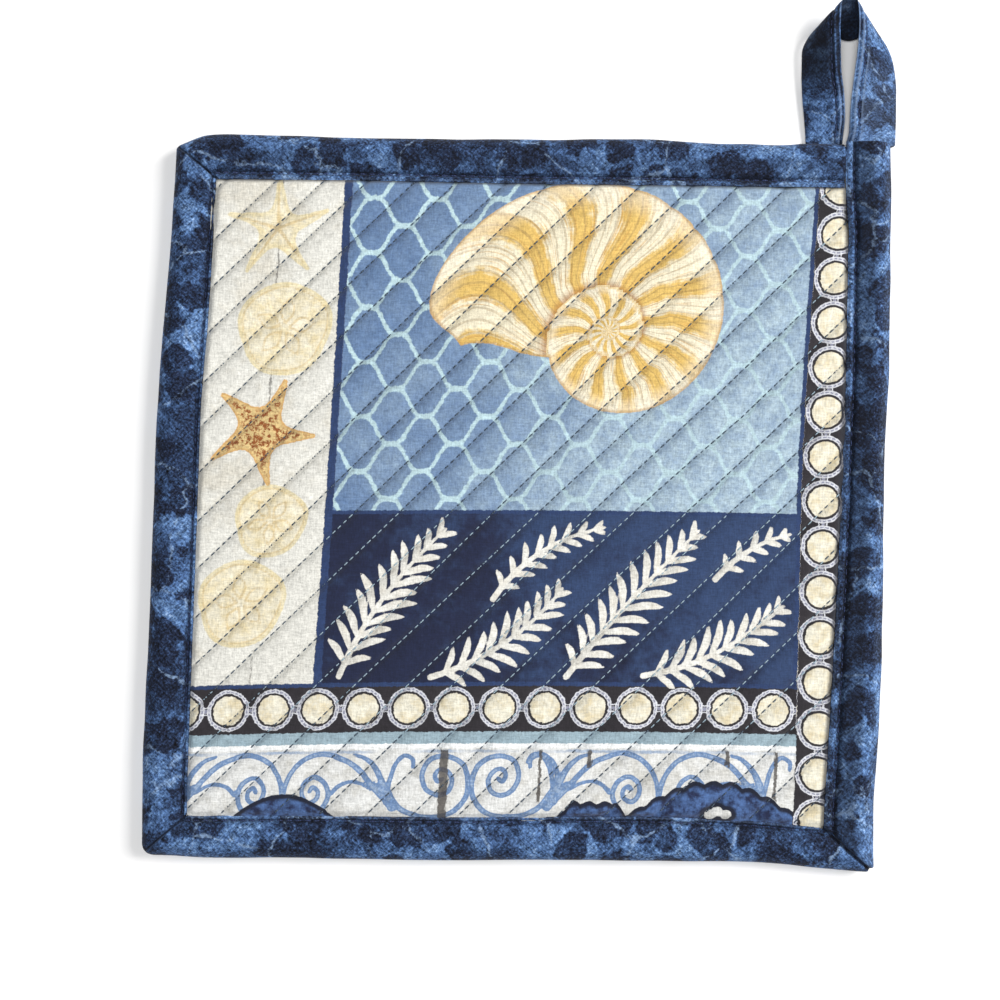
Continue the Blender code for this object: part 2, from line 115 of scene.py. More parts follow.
# ---- number helpers -----------------------------------------------------------------------
def smooth_table(table, x):
    """Monotone cubic curves through a table's rows, one for each column after the key: the
    slope at a row is the harmonic mean of the two steps beside it, or none at a turn."""
    rows = np.array(table, float)
    rows = rows[np.argsort(rows[:, 0])]
    key, values = rows[:, 0], rows[:, 1:]
    steps = np.diff(values, axis=0) / np.diff(key)[:, None]
    before, after = steps[:-1], steps[1:]
    same_way = before * after > 0.0
    total = np.where(same_way, before + after, 1.0)
    inner = np.where(same_way, 2.0 * before * after / total, 0.0)
    slope = np.concatenate([steps[:1], inner, steps[-1:]])
    x = np.clip(np.asarray(x, float), key[0], key[-1])
    low = np.clip(np.searchsorted(key, x, side="right") - 1, 0, len(key) - 2)
    span = key[low + 1] - key[low]
    t = ((x - key[low]) / span)[..., None]
    span = span[..., None]
    curve = (
        (2 * t**3 - 3 * t**2 + 1) * values[low]
        + (t**3 - 2 * t**2 + t) * span * slope[low]
        + (3 * t**2 - 2 * t**3) * values[low + 1]
        + (t**3 - t**2) * span * slope[low + 1]
    )
    return np.moveaxis(curve, -1, 0)


def ramp(x, start, end):
    """0 before start, 1 past end, and a smooth S between them."""
    t = np.clip((np.asarray(x, float) - start) / (end - start), 0.0, 1.0)
    return t * t * (3.0 - 2.0 * t)


KNOTS = 64                              # the random grid repeats after this many squares


def unevenness(x, y, size, seed):
    """Smooth random heights between -1 and 1, about "size" mm from one swell to the next:
    random values on a square grid, joined by S curves both ways."""
    dice = np.random.default_rng(seed)
    knots = dice.uniform(-1.0, 1.0, (KNOTS, KNOTS))
    u, v = np.asarray(x, float) / size + 31.0, np.asarray(y, float) / size + 31.0
    i, j = np.floor(u).astype(int), np.floor(v).astype(int)
    fu, fv = u - i, v - j
    fu, fv = fu * fu * (3 - 2 * fu), fv * fv * (3 - 2 * fv)
    i, j, i2, j2 = i % KNOTS, j % KNOTS, (i + 1) % KNOTS, (j + 1) % KNOTS
    near = knots[i, j] * (1 - fu) + knots[i2, j] * fu
    far = knots[i, j2] * (1 - fu) + knots[i2, j2] * fu
    return near * (1 - fv) + far * fv


def dip(distance, width):
    """A bell curve: 1 at distance 0, falling away over "width"."""
    return np.exp(-((distance / width) ** 2))


def path_length(points):
    """Distance run along a line of points, from 0 at its first."""
    steps = np.linalg.norm(np.diff(points, axis=0), axis=1)
    return np.concatenate([[0.0], np.cumsum(steps)])


def on_path(places, run, line):
    """Points of a line, or arrows given along it, at places along its run."""
    return np.column_stack([np.interp(places, run, line[:, k]) for k in range(3)])


def to_metres(points):
    """Millimetres from the square's middle, as metres from the footprint's middle."""
    points = np.asarray(points, float)
    return (points - np.array([*FOOTPRINT_CENTRE, 0.0])) * 0.001


# ---- mesh helpers -------------------------------------------------------------------------
def add_object(name, data):
    """An object in the scene that shows the given mesh, lamp or lens."""
    made = bpy.data.objects.new(name, data)
    bpy.context.scene.collection.objects.link(made)
    return made


def add_mesh(name, points, quads, tris):
    """A piece in metres from points in millimetres, four-sided faces, and three-sided ones."""
    mesh = bpy.data.meshes.new(name)
    sizes = np.concatenate([np.full(len(quads), 4), np.full(len(tris), 3)])
    face_points = np.concatenate([quads.ravel(), tris.ravel()]).astype(np.int32)
    starts = np.concatenate([[0], np.cumsum(sizes)[:-1]]).astype(np.int32)
    mesh.vertices.add(len(points))
    mesh.vertices.foreach_set("co", to_metres(points).astype(np.float32).ravel())
    mesh.loops.add(len(face_points))
    mesh.loops.foreach_set("vertex_index", face_points)
    mesh.polygons.add(len(sizes))
    mesh.polygons.foreach_set("loop_start", starts)
    mesh.polygons.foreach_set("loop_total", sizes.astype(np.int32))
    mesh.update(calc_edges=True)
    mesh.validate()
    mesh.shade_smooth()
    return add_object(name, mesh)


def grid_quads(rows, columns, closed=False):
    """Faces of a grid of rows and columns of points; closed joins each row's end to its start."""
    width = columns if closed else columns - 1
    i, j = np.meshgrid(np.arange(rows - 1), np.arange(width), indexing="ij")
    here = i * columns + j
    beside = i * columns + (j + 1) % columns
    return np.stack([here, beside, beside + columns, here + columns], -1).reshape(-1, 4)


def set_values(piece, name, values):
    """A number for each point of a piece, which its material reads by name."""
    layer = piece.data.attributes.new(name, "FLOAT", "POINT")
    layer.data.foreach_set("value", np.asarray(values, np.float32).ravel())


def set_places(piece, name, places):
    """Three numbers for each point of a piece, which its material reads by name."""
    layer = piece.data.attributes.new(name, "FLOAT_VECTOR", "POINT")
    layer.data.foreach_set("vector", np.asarray(places, np.float32).ravel())


def loft(name, sections):
    """A piece whose skin runs over closed sections of equal counts of points; both ends are
    shut by fans about their middle points."""
    count, size = sections.shape[:2]
    points = np.concatenate([sections.reshape(-1, 3), sections[0].mean(0, keepdims=True),
                             sections[-1].mean(0, keepdims=True)])
    ring = np.arange(size)
    after = (ring + 1) % size
    last = (count - 1) * size
    middle = count * size
    tris = np.concatenate([
        np.column_stack([after, ring, np.full(size, middle)]),
        np.column_stack([last + ring, last + after, np.full(size, middle + 1)]),
    ])
    return add_mesh(name, points, grid_quads(count, size, closed=True), tris)


FAR_FROM_CREASE = 30.0                  # the distance stored where no mitre is near


def dress_strip(piece, places, tint, crease):
    """What the marbled cloth reads on a lofted piece: place on the strip, its tint, which is wear
    and painted light above 0 and painted shade below 0, and distance from the nearest mitre's
    crease, along which shade is painted."""
    places = places.reshape(-1, 3)
    set_places(piece, "strip_place", np.concatenate([places, places[:1], places[-1:]]))
    for key, values, middle in (("tint", tint, 0.0), ("crease_gap", crease, FAR_FROM_CREASE)):
        set_values(piece, key, np.concatenate([np.ravel(values), [middle, middle]]))


# ---- the square's outline -----------------------------------------------------------------
def reach(side, along, tuck):
    """How far out a side lies: its fold at tuck 0 and its outer edge at tuck 1."""
    outer, fold = smooth_table(side, along)
    return fold + (outer - fold) * tuck


def corner(across, upright, signs, tuck):
    """Where a top or bottom side meets a left or right one."""
    x = signs[0] * reach(upright, signs[1] * CORNER_ALONG, tuck)
    y = signs[1] * reach(across, x, tuck)
    return np.array([float(x), float(y)])


def corners(tuck):
    """The four corners: top right, top left, bottom left and bottom right."""
    return [corner(TOP, RIGHT, (1, 1), tuck), corner(TOP, LEFT, (-1, 1), tuck),
            corner(BOTTOM, LEFT, (-1, -1), tuck), corner(BOTTOM, RIGHT, (1, -1), tuck)]


def side_points(side, axis, sign, along, tuck):
    """Points at the given places along one side."""
    points = np.empty((len(along), 2))
    points[:, axis] = along
    points[:, 1 - axis] = sign * reach(side, along, tuck)
    return points


def edge_distance(x, y, column):
    """Distance inwards from the outer edge (column 0) or from the fold (column 1)."""
    return np.minimum.reduce([
        smooth_table(TOP, x)[column] - y,
        smooth_table(BOTTOM, x)[column] + y,
        smooth_table(LEFT, y)[column] + x,
        smooth_table(RIGHT, y)[column] - x,
    ])


# ---- the sewn rows ------------------------------------------------------------------------
def turn_to_rows(x, y):
    """Place along the rows and across them."""
    along = math.cos(ROW_ANGLE) * x + math.sin(ROW_ANGLE) * y
    across = -math.sin(ROW_ANGLE) * x + math.cos(ROW_ANGLE) * y
    return along, across


def turn_from_rows(along, across):
    """The point at a place along and across the rows."""
    x = math.cos(ROW_ANGLE) * along - math.sin(ROW_ANGLE) * across
    y = math.sin(ROW_ANGLE) * along + math.cos(ROW_ANGLE) * across
    return x, y


def row_lines(along):
    """Where each sewn row lies across, at places along: even steps plus each row's drift, on a
    parabola through its three given points."""
    start, middle, end = np.array(ROW_DRIFT, float).T
    t = np.clip(np.asarray(along, float) / DRIFT_REACH, -1.0, 1.0)
    number = np.arange(len(start)) + FIRST_ROW
    even = ROW_OFFSET + ROW_PITCH * number
    bow = (end + start) / 2 - middle
    lean = (end - start) / 2
    return (even + middle)[:, None] + lean[:, None] * t + bow[:, None] * t * t


def find_channel(x, y):
    """For each point: its place along the rows, the row below it, its share of the way from
    that row to the next, which runs on past 0 and 1 beyond the last rows, and the distance
    between the two."""
    along, across = turn_to_rows(x, y)
    lines = row_lines(along)
    below = np.clip((lines <= across).sum(axis=0) - 1, 0, len(lines) - 2)
    points = np.arange(len(across))
    low, high = lines[below, points], lines[below + 1, points]
    return along, below, (across - low) / (high - low), high - low


def row_place(x, y):
    """Which row a point is at, counted from 0 and running evenly on between two rows."""
    _, below, share, _ = find_channel(x, y)
    return below + share


def place_in_channel(x, y):
    """For each point: how far it is across its channel (0 to 1), its distance from the nearer
    row, and its place along the rows."""
    along, _, share, width = find_channel(x, y)
    share = share - np.floor(share)
    return share, np.minimum(share, 1.0 - share) * width, along


# ---- the padded square's two faces --------------------------------------------------------
SEAM_TOP, SEAM_BOTTOM = 4.8, 1.2        # its faces where the binding covers them
GROOVE_TOP, CHANNEL_RISE = 5.65, 1.45   # upper face along a row, and an arch's rise above it
GROOVE_BOTTOM = 0.95                    # lower face along a row; the channels rest at 0
GROOVE_WALL = (-0.15, 0.85)             # distance from a row over which an arch sets in
STITCH_DENT = (0.25, 0.7)               # how deep and wide the stitches pull a groove in
PAD_TUCK = 2.6                          # the pad's cut edge, in from the binding's outer edge
RIM_WIDTH, RIM_THINNING = 2.0, 0.9      # over this width the edge is pressed thinner by this
MID_HEIGHT = 3.0                        # where the two halves of the pad meet
FLATTER, ROUNDER = 0.42, 0.20           # an arch's power, and what is added to it ...
ROUNDER_FROM = (-60.0, -48.0)           # ... from x here on: the left column lies flatter


def front_height(x, y):
    """Upper face: a rounded arch across each channel, a narrow pressed groove along each row
    with the cloth puckered between its stitches, fine wrinkles, and flat under the binding."""
    share, gap, along = place_in_channel(x, y)
    uneven = 1.0 + 0.16 * unevenness(x, y, 23.0, 3)
    roundness = FLATTER + ROUNDER * ramp(x, *ROUNDER_FROM)
    arch = (4.0 * share * (1.0 - share)) ** roundness * ramp(gap, *GROOVE_WALL)
    height = GROOVE_TOP + CHANNEL_RISE * uneven * arch - STITCH_DENT[0] * dip(gap, STITCH_DENT[1])
    pucker = np.sin(2 * np.pi * along / STITCH_PITCH + 3.0 * unevenness(x, y, 15.0, 8))
    height += 0.07 * pucker * dip(gap - 0.9, 1.3)
    height += 0.10 * unevenness(along * 0.8, share * 9.0, 2.3, 5) * ramp(gap, 0.3, 1.5)
    height += 0.05 * unevenness(x, y, 1.6, 12)
    height += 0.11 * unevenness(x * 0.3, y + 0.2 * x, 2.1, 14) * ramp(gap, 0.2, 1.6)
    covered = SEAM_TOP - pressed_rim(x, y)
    height = covered + (height - covered) * ramp(edge_distance(x, y, 1), -0.9, 1.7)
    lift = PAD_LIFT_SHARE * CORNER_LIFT
    return height + lift * ramp(x, *PAD_LIFT_X) * ramp(y, *PAD_LIFT_Y)


def pressed_rim(x, y):
    """How much thinner each face lies near the pad's cut edge."""
    return RIM_THINNING * (1 - ramp(edge_distance(x, y, 0), PAD_TUCK, PAD_TUCK + RIM_WIDTH))


def back_height(x, y):
    """Lower face: channels that rest on the table, with a soft groove along each row."""
    share, gap, along = place_in_channel(x, y)
    arch = np.minimum(1.0, 4.0 * share * (1.0 - share) / 0.75)
    height = GROOVE_BOTTOM * (1.0 - arch**0.7) + 0.2 * dip(gap, 0.7)
    pucker = np.sin(2 * np.pi * along / STITCH_PITCH)
    height += 0.05 * (1 + pucker) * dip(gap - 0.9, 1.2)
    covered = SEAM_BOTTOM + pressed_rim(x, y)
    height = covered + (height - covered) * ramp(edge_distance(x, y, 1), 0.0, 4.0)
    over_tail = ramp(x, *HOLLOW_START_X) * (1.0 - ramp(x, *HOLLOW_END_X)) * ramp(y, *HOLLOW_Y)
    return np.maximum(height, 0.0) + (TAIL_LIFT + HOLLOW_CLEARANCE) * over_tail


def square_grid(shares):
    """Points of a grid fitted to the pad's hidden cut edge, from one rising list of shares:
    each point lies at its share of the way between the opposite edges, found in a few steps
    because each edge's place depends on where along it the point is."""
    a, b = np.meshgrid(shares, shares)
    x, y = (a - 0.5) * 200.0, (b - 0.5) * 200.0
    for _ in range(6):
        left, right = -smooth_table(LEFT, y)[0], smooth_table(RIGHT, y)[0]
        low, high = -smooth_table(BOTTOM, x)[0], smooth_table(TOP, x)[0]
        x = left + PAD_TUCK + (right - left - 2 * PAD_TUCK) * a
        y = low + PAD_TUCK + (high - low - 2 * PAD_TUCK) * b
    return x.ravel(), y.ravel()


HIDDEN_SHARE = 0.05                     # share of the pad's width that the binding hides


def half_pad(name, height, shown, hidden, upwards):
    """One closed half of the pad: a shaped face, a wall round it, and a flat hidden face. Its
    grid has "shown" lines each way over what shows and "hidden" ones at each covered end."""
    ends = np.linspace(0.0, HIDDEN_SHARE, hidden, endpoint=False)
    middle = np.linspace(HIDDEN_SHARE, 1.0 - HIDDEN_SHARE, shown)
    shares = np.concatenate([ends, middle, 1.0 - ends[::-1]])
    x, y = square_grid(shares)
    wide, count = len(shares), len(x)
    index = np.arange(count).reshape(wide, wide)
    rim = np.concatenate([index[0, :-1], index[:-1, -1], index[-1, :0:-1], index[:0:-1, 0]])
    wall = np.column_stack([x[rim], y[rim], np.full(len(rim), MID_HEIGHT)])
    points = np.concatenate([np.column_stack([x, y, height(x, y)]), wall,
                             [[0.0, 0.0, MID_HEIGHT]]])
    after = np.roll(np.arange(len(rim)), -1)
    ring = count + np.arange(len(rim))
    quads = np.concatenate([grid_quads(wide, wide),
                            np.column_stack([rim[after], rim, ring, ring[after]])])
    fan = np.column_stack([ring[after], ring, np.full(len(rim), count + len(rim))])
    if not upwards:
        quads, fan = quads[:, ::-1], fan[:, ::-1]
    return add_mesh(name, points, quads, fan), x, y


# ---- the binding --------------------------------------------------------------------------
def curve_round(start, tip, end, count):
    """Points between two ends of a corner, on a parabola that leans towards its tip."""
    t = (np.arange(count) + 1.0)[:, None] / (count + 1.0)
    return (1 - t) ** 2 * start + 2 * t * (1 - t) * tip + t**2 * end


FOLD_ROUND = 0.8                        # how far the fold's inner corner is rounded
CORNER_SECTIONS = 9                     # sections round each corner
WAITING = 0.02                          # how much the waiting fold point still moves


def binding_path(step):
    """Outer and fold points of each section of the binding, and its side. The fold's point
    stays level with the outer one, until it reaches the corner and waits there."""
    outer_tips, fold_tips = corners(1.0), corners(0.0)
    outer, fold, number = [], [], []
    for k, (side, axis, sign) in enumerate(SIDES):
        after = (k + 1) % 4
        way = np.sign(outer_tips[after][axis] - outer_tips[k][axis])
        start = STRIP_START if k == 0 else outer_tips[k][axis] + way * CORNER_ROUND[k - 1]
        end = STRIP_END if k == 3 else outer_tips[after][axis] - way * CORNER_ROUND[k]
        count = int(abs(end - start) / step) + 2
        along = np.linspace(start, end, count)
        first = STRIP_START if k == 0 else fold_tips[k][axis] + way * FOLD_ROUND
        last = STRIP_END if k == 3 else fold_tips[after][axis] - way * FOLD_ROUND
        held = np.clip(along, min(first, last), max(first, last))
        outer.append(side_points(side, axis, sign, along, 1.0))
        fold.append(side_points(side, axis, sign, held + WAITING * (along - held), 0.0))
        number.append(np.full(count, k))
    paths = [outer[0]], [fold[0]], [number[0]]
    for k in (1, 2, 3):
        rounds = (curve_round(outer[k - 1][-1], outer_tips[k], outer[k][0], CORNER_SECTIONS),
                  curve_round(fold[k - 1][-1], fold_tips[k], fold[k][0], CORNER_SECTIONS),
                  np.where(np.arange(CORNER_SECTIONS) * 2 < CORNER_SECTIONS, k - 1, k))
        for path, turn, run in zip(paths, rounds, (outer[k], fold[k], number[k])):
            path += [turn, run]
    return [np.concatenate(path) for path in paths]


BINDING_TOP = 6.0                       # height of its upper skin before the relief
# Places in from the outer edge where the flat skins have points, closer towards the fold.
FLAT_PLACES = np.array([6.3, 7.4, 8.4, 9.2, 9.7, 10.1, 10.45, 10.8, 11.1, 11.4, 11.7, 12.0,
                        12.25, 12.42])
# The rest of the section, place in and height: the rounded lip at the fold, and the inside.
LIP = ((12.55, 5.7), (12.5, 5.25), (12.2, 5.1))
INSIDE = ((9.0, 5.1), (6.0, 5.1), (3.6, 5.1), (1.9, 4.5), (1.0, 3.6), (1.0, 2.4), (1.9, 1.5),
          (3.6, 0.9), (6.0, 0.9), (9.0, 0.9), (12.2, 0.9), (12.5, 0.6))


def binding_profile():
    """The binding's section: place in from the outer edge in mm, height, and how much of it
    is outer skin (1 on top, -1 underneath, 0 inside). The edge is half an ellipse, drawn out
    longer above than below."""
    turn = np.radians(np.linspace(-90, 90, 17))
    depth = np.where(turn < 0, 2.7, 5.4)
    edge = np.column_stack([depth * (1.0 - np.cos(turn)), BINDING_TOP / 2 * (1.0 + np.sin(turn))])
    top = np.column_stack([FLAT_PLACES, np.full(len(FLAT_PLACES), BINDING_TOP)])
    low = np.column_stack([FLAT_PLACES[::-2], np.zeros(len(FLAT_PLACES[::-2]))])
    points = np.concatenate([low, edge, top, LIP, INSIDE])
    skin = np.concatenate([np.full(len(low), -1.0), np.sin(turn), np.ones(len(top)),
                           np.zeros(len(LIP) + len(INSIDE))])
    return points[:, 0], points[:, 1], skin


TOPSTITCH_PITCH = 2.6
# The stitch line's distance from the fold, along the top, left, bottom and right.
TOPSTITCH_IN = np.array([1.8, 1.15, 1.4, 2.2])
# Painted light (above 0) and painted shade (below 0) on its inner and outer parts, in the
# same order, for a light from the right and a little from the top.
PAINTED_LIGHT_INNER = np.array([-0.42, 0.0, 0.0, -0.75])
PAINTED_LIGHT_OUTER = np.array([0.10, -0.25, 0.0, 0.45])


def binding_relief(inwards, along, side):
    """Height added to the binding's upper skin: a soft crown, a pressed groove along the
    topstitching with puckers, a rounded lip that dips at the fold, and wrinkles."""
    fold_gap = BINDING_WIDTH - inwards
    line = TOPSTITCH_IN[side][:, None]
    crown = 0.95 * np.sin(np.pi * np.clip(inwards / 10.8, 0, 1) ** 0.75)
    groove = -1.05 * dip(fold_gap - line, 0.55)
    pucker = 0.12 * np.sin(2 * np.pi * along / TOPSTITCH_PITCH) * dip(fold_gap - line - 0.5, 1.0)
    lip = 0.12 * dip(fold_gap - 0.45 * line, 0.4) - 0.45 * dip(fold_gap, 0.35)
    swell = 0.26 * unevenness(along, inwards * 1.2, 11.0, 21)
    crease = 0.12 * unevenness(along + inwards * 0.9, inwards * 0.35, 2.6, 22)
    return crown + groove + pucker + lip + (swell + crease) * ramp(inwards, 0.0, 4.0)


# Each mitre's corner number, the upper strip's rise, and its crease's depth and width.
MITRES = ((1, 0.55, 0.9, 0.40), (2, 0.35, 0.7, 0.40), (3, 0.60, 2.3, 0.55))


def mitre_gap(x, y, corner_number):
    """Distance from a corner's diagonal, to the left of the way out, and distance out along
    it from the fold's corner."""
    fold_tip = corners(0.0)[corner_number]
    run = corners(1.0)[corner_number] - fold_tip
    run /= np.linalg.norm(run)
    gap = -(x - fold_tip[0]) * run[1] + (y - fold_tip[1]) * run[0]
    return gap, (x - fold_tip[0]) * run[0] + (y - fold_tip[1]) * run[1]


def mitre_relief(x, y):
    """The diagonal folds at three corners: a step up to the strip that lies on top, with a
    sharp crease beside it, fading out away from the diagonal."""
    relief = np.zeros_like(x)
    for number, height, depth, width in MITRES:
        gap, past = mitre_gap(x, y, number)
        here = ramp(past, -1.0, 0.5)
        step = height * np.where(gap > 0, np.exp(-gap / 3.0), 0.0)
        relief += here * (step - depth * dip(gap + 0.15, width))
    return relief


def binding_points(outer, fold, side, along, inwards, height, skin):
    """Points of the strip at sections given by their outer and fold points: each lies its
    share of the way in, at the section's height plus the relief of its skin."""
    share = inwards / BINDING_WIDTH
    x = outer[:, :1] + (fold - outer)[:, :1] * share
    y = outer[:, 1:] + (fold - outer)[:, 1:] * share
    relief = binding_relief(inwards, along[:, None], side) + mitre_relief(x, y)
    under = 0.15 - 0.5 * binding_relief(inwards, along[:, None] + 7.0, side)
    under = np.clip(under, 0.0, 0.6)
    z = height + np.maximum(skin, 0.0) * relief + np.maximum(-skin, 0.0) * under
    wave = 0.14 * unevenness(along[:, None], height * 0.5, 9.0, 31)
    gap, past = mitre_gap(x, y, 3)
    notch = 0.9 * dip(gap, 0.7) * (past > 0)
    push = (wave - notch) * (inwards < 2.6) * (np.abs(skin) < 0.95)
    away = outer - fold
    away /= np.linalg.norm(away, axis=1)[:, None]
    x, y = x + push * away[:, :1], y + push * away[:, 1:]
    high = CORNER_LIFT * ramp(x, *BINDING_LIFT_X) * ramp(y, *BINDING_LIFT_Y)
    low = np.where(side[:, None] == 0, TAIL_LIFT * ramp(x, *TAIL_RECESS), 0.0)
    z = z + low + (high - low) * np.clip(height / 6.0, 0, 1)
    return np.stack([x, y, np.maximum(z, 0.0)], -1)


def build_binding():
    """The folded strip carried round the square. Its dye pattern is shifted from side to
    side, so that it breaks at each mitre as a folded strip's does. The fold and the edge are
    worn paler, the stitch line gets painted shade, and each side gets the painted light and
    shade that the two tables above give its inner and outer parts."""
    outer, fold, side = binding_path(0.62)
    inwards, height, skin = (row[None, :] for row in binding_profile())
    sections = binding_points(outer, fold, side, path_length(outer), inwards, height, skin)
    piece = loft("binding_strip", sections)
    fold_gap = BINDING_WIDTH - inwards
    stitch_gap = fold_gap - TOPSTITCH_IN[side][:, None]
    # the fold worn paler, less painted shade along the stitch line's groove
    worn = 0.5 * dip(fold_gap - 0.35, 0.35) - 0.9 * dip(stitch_gap, 0.6)
    # painted light and painted shade on each side's inner and outer parts
    painted_side_light = PAINTED_LIGHT_INNER[side][:, None] * ramp(fold_gap, 1.5, 3.5) * ramp(fold_gap, 9.5, 6.5)
    painted_side_light = painted_side_light + PAINTED_LIGHT_OUTER[side][:, None] * ramp(fold_gap, 8.5, 11.0)
    crease = np.full(sections.shape[:2], FAR_FROM_CREASE)
    for number, *_ in MITRES:
        gap, past = mitre_gap(sections[..., 0], sections[..., 1], number)
        close = np.hypot(gap, past) < 26.0
        crease[close] = gap[close]
    shift = np.stack([31.0 * side, -47.0 * side, 0.0 * side], -1)[:, None, :]
    dress_strip(piece, sections + shift, worn * np.abs(skin) + painted_side_light * np.maximum(skin, 0.0),
                crease)
    return piece


def binding_stitches(name, upper, dash=1.7, radius=0.20):
    """The topstitching on one side: evenly spaced along its own line in the groove."""
    outer, fold, side = binding_path(0.9)
    way = 1.0 if upper else -1.0
    inwards = (BINDING_WIDTH - TOPSTITCH_IN[side])[:, None]
    height = np.full_like(inwards, BINDING_TOP if upper else 0.0)
    line = binding_points(outer, fold, side, path_length(outer), inwards, height,
                          np.full_like(inwards, way))[:, 0]
    run = path_length(line)
    middle = np.arange(1.5, run[-1] - 1.5, TOPSTITCH_PITCH)
    lift = np.array([0.0, 0.0, 0.10 * way])
    ends = [on_path(middle + shift, run, line) + lift for shift in (-dash / 2, dash / 2)]
    return add_stitches(name, *ends, np.tile([0.0, 0.0, way], (len(middle), 1)), radius, 0.08)


# ---- the hanging loop ---------------------------------------------------------------------
STRAP_SECTIONS = 170
# Shares across the strap where its skins have points: evenly eased from its closed side, then
# closer towards its open edge.
STRAP_SHARES = np.concatenate([
    0.5 - 0.5 * np.cos(np.pi * np.linspace(0.0, 0.6, 12)),
    [0.70, 0.74, 0.775, 0.80, 0.825, 0.85, 0.87, 0.89, 0.91, 0.93, 0.95, 0.965, 0.98, 1.0]])
STRAP_STITCH_IN = 2.4                   # stitch line's distance from the strap's open edge
STRAP_FOLD_IN = 0.95                    # where its upper layer ends, short of the lower one


def strap_skins(t):
    """The strap at shares t across, or along its stitch line where t is None: distance along
    it, distance from its open edge, outward arrows, and its outer and inner skins. It is ruled
    between its low and high edges and swollen by its bulge. Each skin lies half the thickness
    from it, rounded off at both edges, with a sewn groove, the step where the upper layer ends,
    and slight puffs."""
    rows = np.array(STRAP)
    run = path_length((rows[:, 0:3] + rows[:, 3:6]) / 2)
    stations = np.linspace(0, run[-1], STRAP_SECTIONS)
    columns = smooth_table(np.column_stack([run, rows]), stations)
    low, high = columns[0:3].T, columns[3:6].T
    forward = np.gradient((low + high) / 2, axis=0)
    forward[[0, -1]] = ((0.0, 1.0, 0.0), (0.0, -1.0, 0.0))
    outwards = np.cross(high - low, forward)
    outwards /= np.linalg.norm(outwards, axis=1)[:, None]
    if t is None:
        t = (1 - STRAP_STITCH_IN / np.linalg.norm(high - low, axis=1))[:, None]
    thick, bulge, place = columns[6][:, None], columns[7][:, None], stations[:, None]
    half = thick / 2 * (1 - np.abs(2 * t - 1) ** 6) ** 0.5
    from_open = (1 - t) * np.linalg.norm(high - low, axis=1)[:, None]
    free = ramp(place, 12.0, 17.0) * ramp(stations[-1] - place, 3.0, 8.0)
    puffed = 0.14 * unevenness(place, t * 9.0, 7.0, 41) * np.sin(np.pi * t)
    ripple = 0.05 * unevenness(place, t * 3.0, 1.7, 43) * np.sin(np.pi * t)
    groove = 0.42 * dip(from_open - STRAP_STITCH_IN, 0.5)
    step = 0.38 * ramp(from_open, STRAP_FOLD_IN + 0.15, STRAP_FOLD_IN - 0.15)
    front = half - np.minimum((groove + step) * free, 0.85 * half) + puffed + ripple
    rear = half - np.minimum(groove * free, 0.6 * half)
    swell = bulge * 4 * t * (1 - t)
    t = np.broadcast_to(t, from_open.shape)[..., None]
    outwards = outwards[:, None, :]
    spine = low[:, None, :] + (high - low)[:, None, :] * t + swell[..., None] * outwards
    return (stations, from_open, outwards, spine + front[..., None] * outwards,
            spine - rear[..., None] * outwards)


def build_loop():
    """The folded strap. Its open edge and the upper layer's edge are worn pale, with a pale line
    just past the stitch line; the step between the edges, the stitch line, the shoulder of the
    left leg and the whole inner skin get painted shade, and the right leg's top painted light."""
    t = STRAP_SHARES
    stations, from_open, _, outside, inside = strap_skins(t)
    sections = np.concatenate([outside, inside[:, -2:0:-1]], axis=1)
    sections[..., 2] = np.maximum(sections[..., 2], 0.0)
    piece = loft("loop_strap", sections)
    across = np.concatenate([t * 12.0, 14.0 + (1 - t[-2:0:-1]) * 12.0])
    place = np.stack(np.broadcast_arrays(across[None, :] + 70.0, stations[:, None], 40.0), -1)
    tint = 1.5 * dip(from_open - 0.10, 0.26) + 1.3 * dip(from_open - 1.2, 0.26)
    # painted shade at the step between the layers and along the stitch line; a pale line past it
    tint -= 1.0 * dip(from_open - 0.65, 0.26) + 0.9 * dip(from_open - STRAP_STITCH_IN, 0.4)
    tint += 0.6 * dip(from_open - STRAP_STITCH_IN - 0.8, 0.3)
    # painted light on the right leg's top, painted shade on the left leg's shoulder
    lit = ramp(stations, 62.0, 74.0) * (1 - ramp(stations, 96.0, 106.0))
    tint += (0.35 * lit - 1.5 * dip(stations - 37.0, 9.0))[:, None]
    # painted shade over the whole inner skin
    dark = np.full((len(stations), len(t) - 2), -1.2)
    dress_strip(piece, place, np.concatenate([tint, dark], axis=1),
                np.full(sections.shape[:2], FAR_FROM_CREASE))
    return piece


def loop_stitches(name, dash=1.6, pitch=2.4, radius=0.16):
    """Stitches along the strap's open edge, on its outer skin."""
    _, _, outwards, outside, _ = strap_skins(None)
    outwards = outwards[:, 0]
    line = outside[:, 0] + 0.05 * outwards
    run = path_length(line)
    middle = np.arange(14.0, run[-1] - 4.0, pitch)
    ends = [on_path(middle + shift, run, line) for shift in (-dash / 2, dash / 2)]
    return add_stitches(name, *ends, on_path(middle, run, outwards), radius, 0.06)


# ---- stitches -----------------------------------------------------------------------------
STITCH_SHARES = np.array([0.0, 0.10, 0.32, 0.68, 0.90, 1.0])    # rings of points along a stitch
STITCH_GIRTH = np.array([0.25, 0.8, 1.0, 1.0, 0.8, 0.25])       # and how thick it is there
STITCH_SIDES = 5


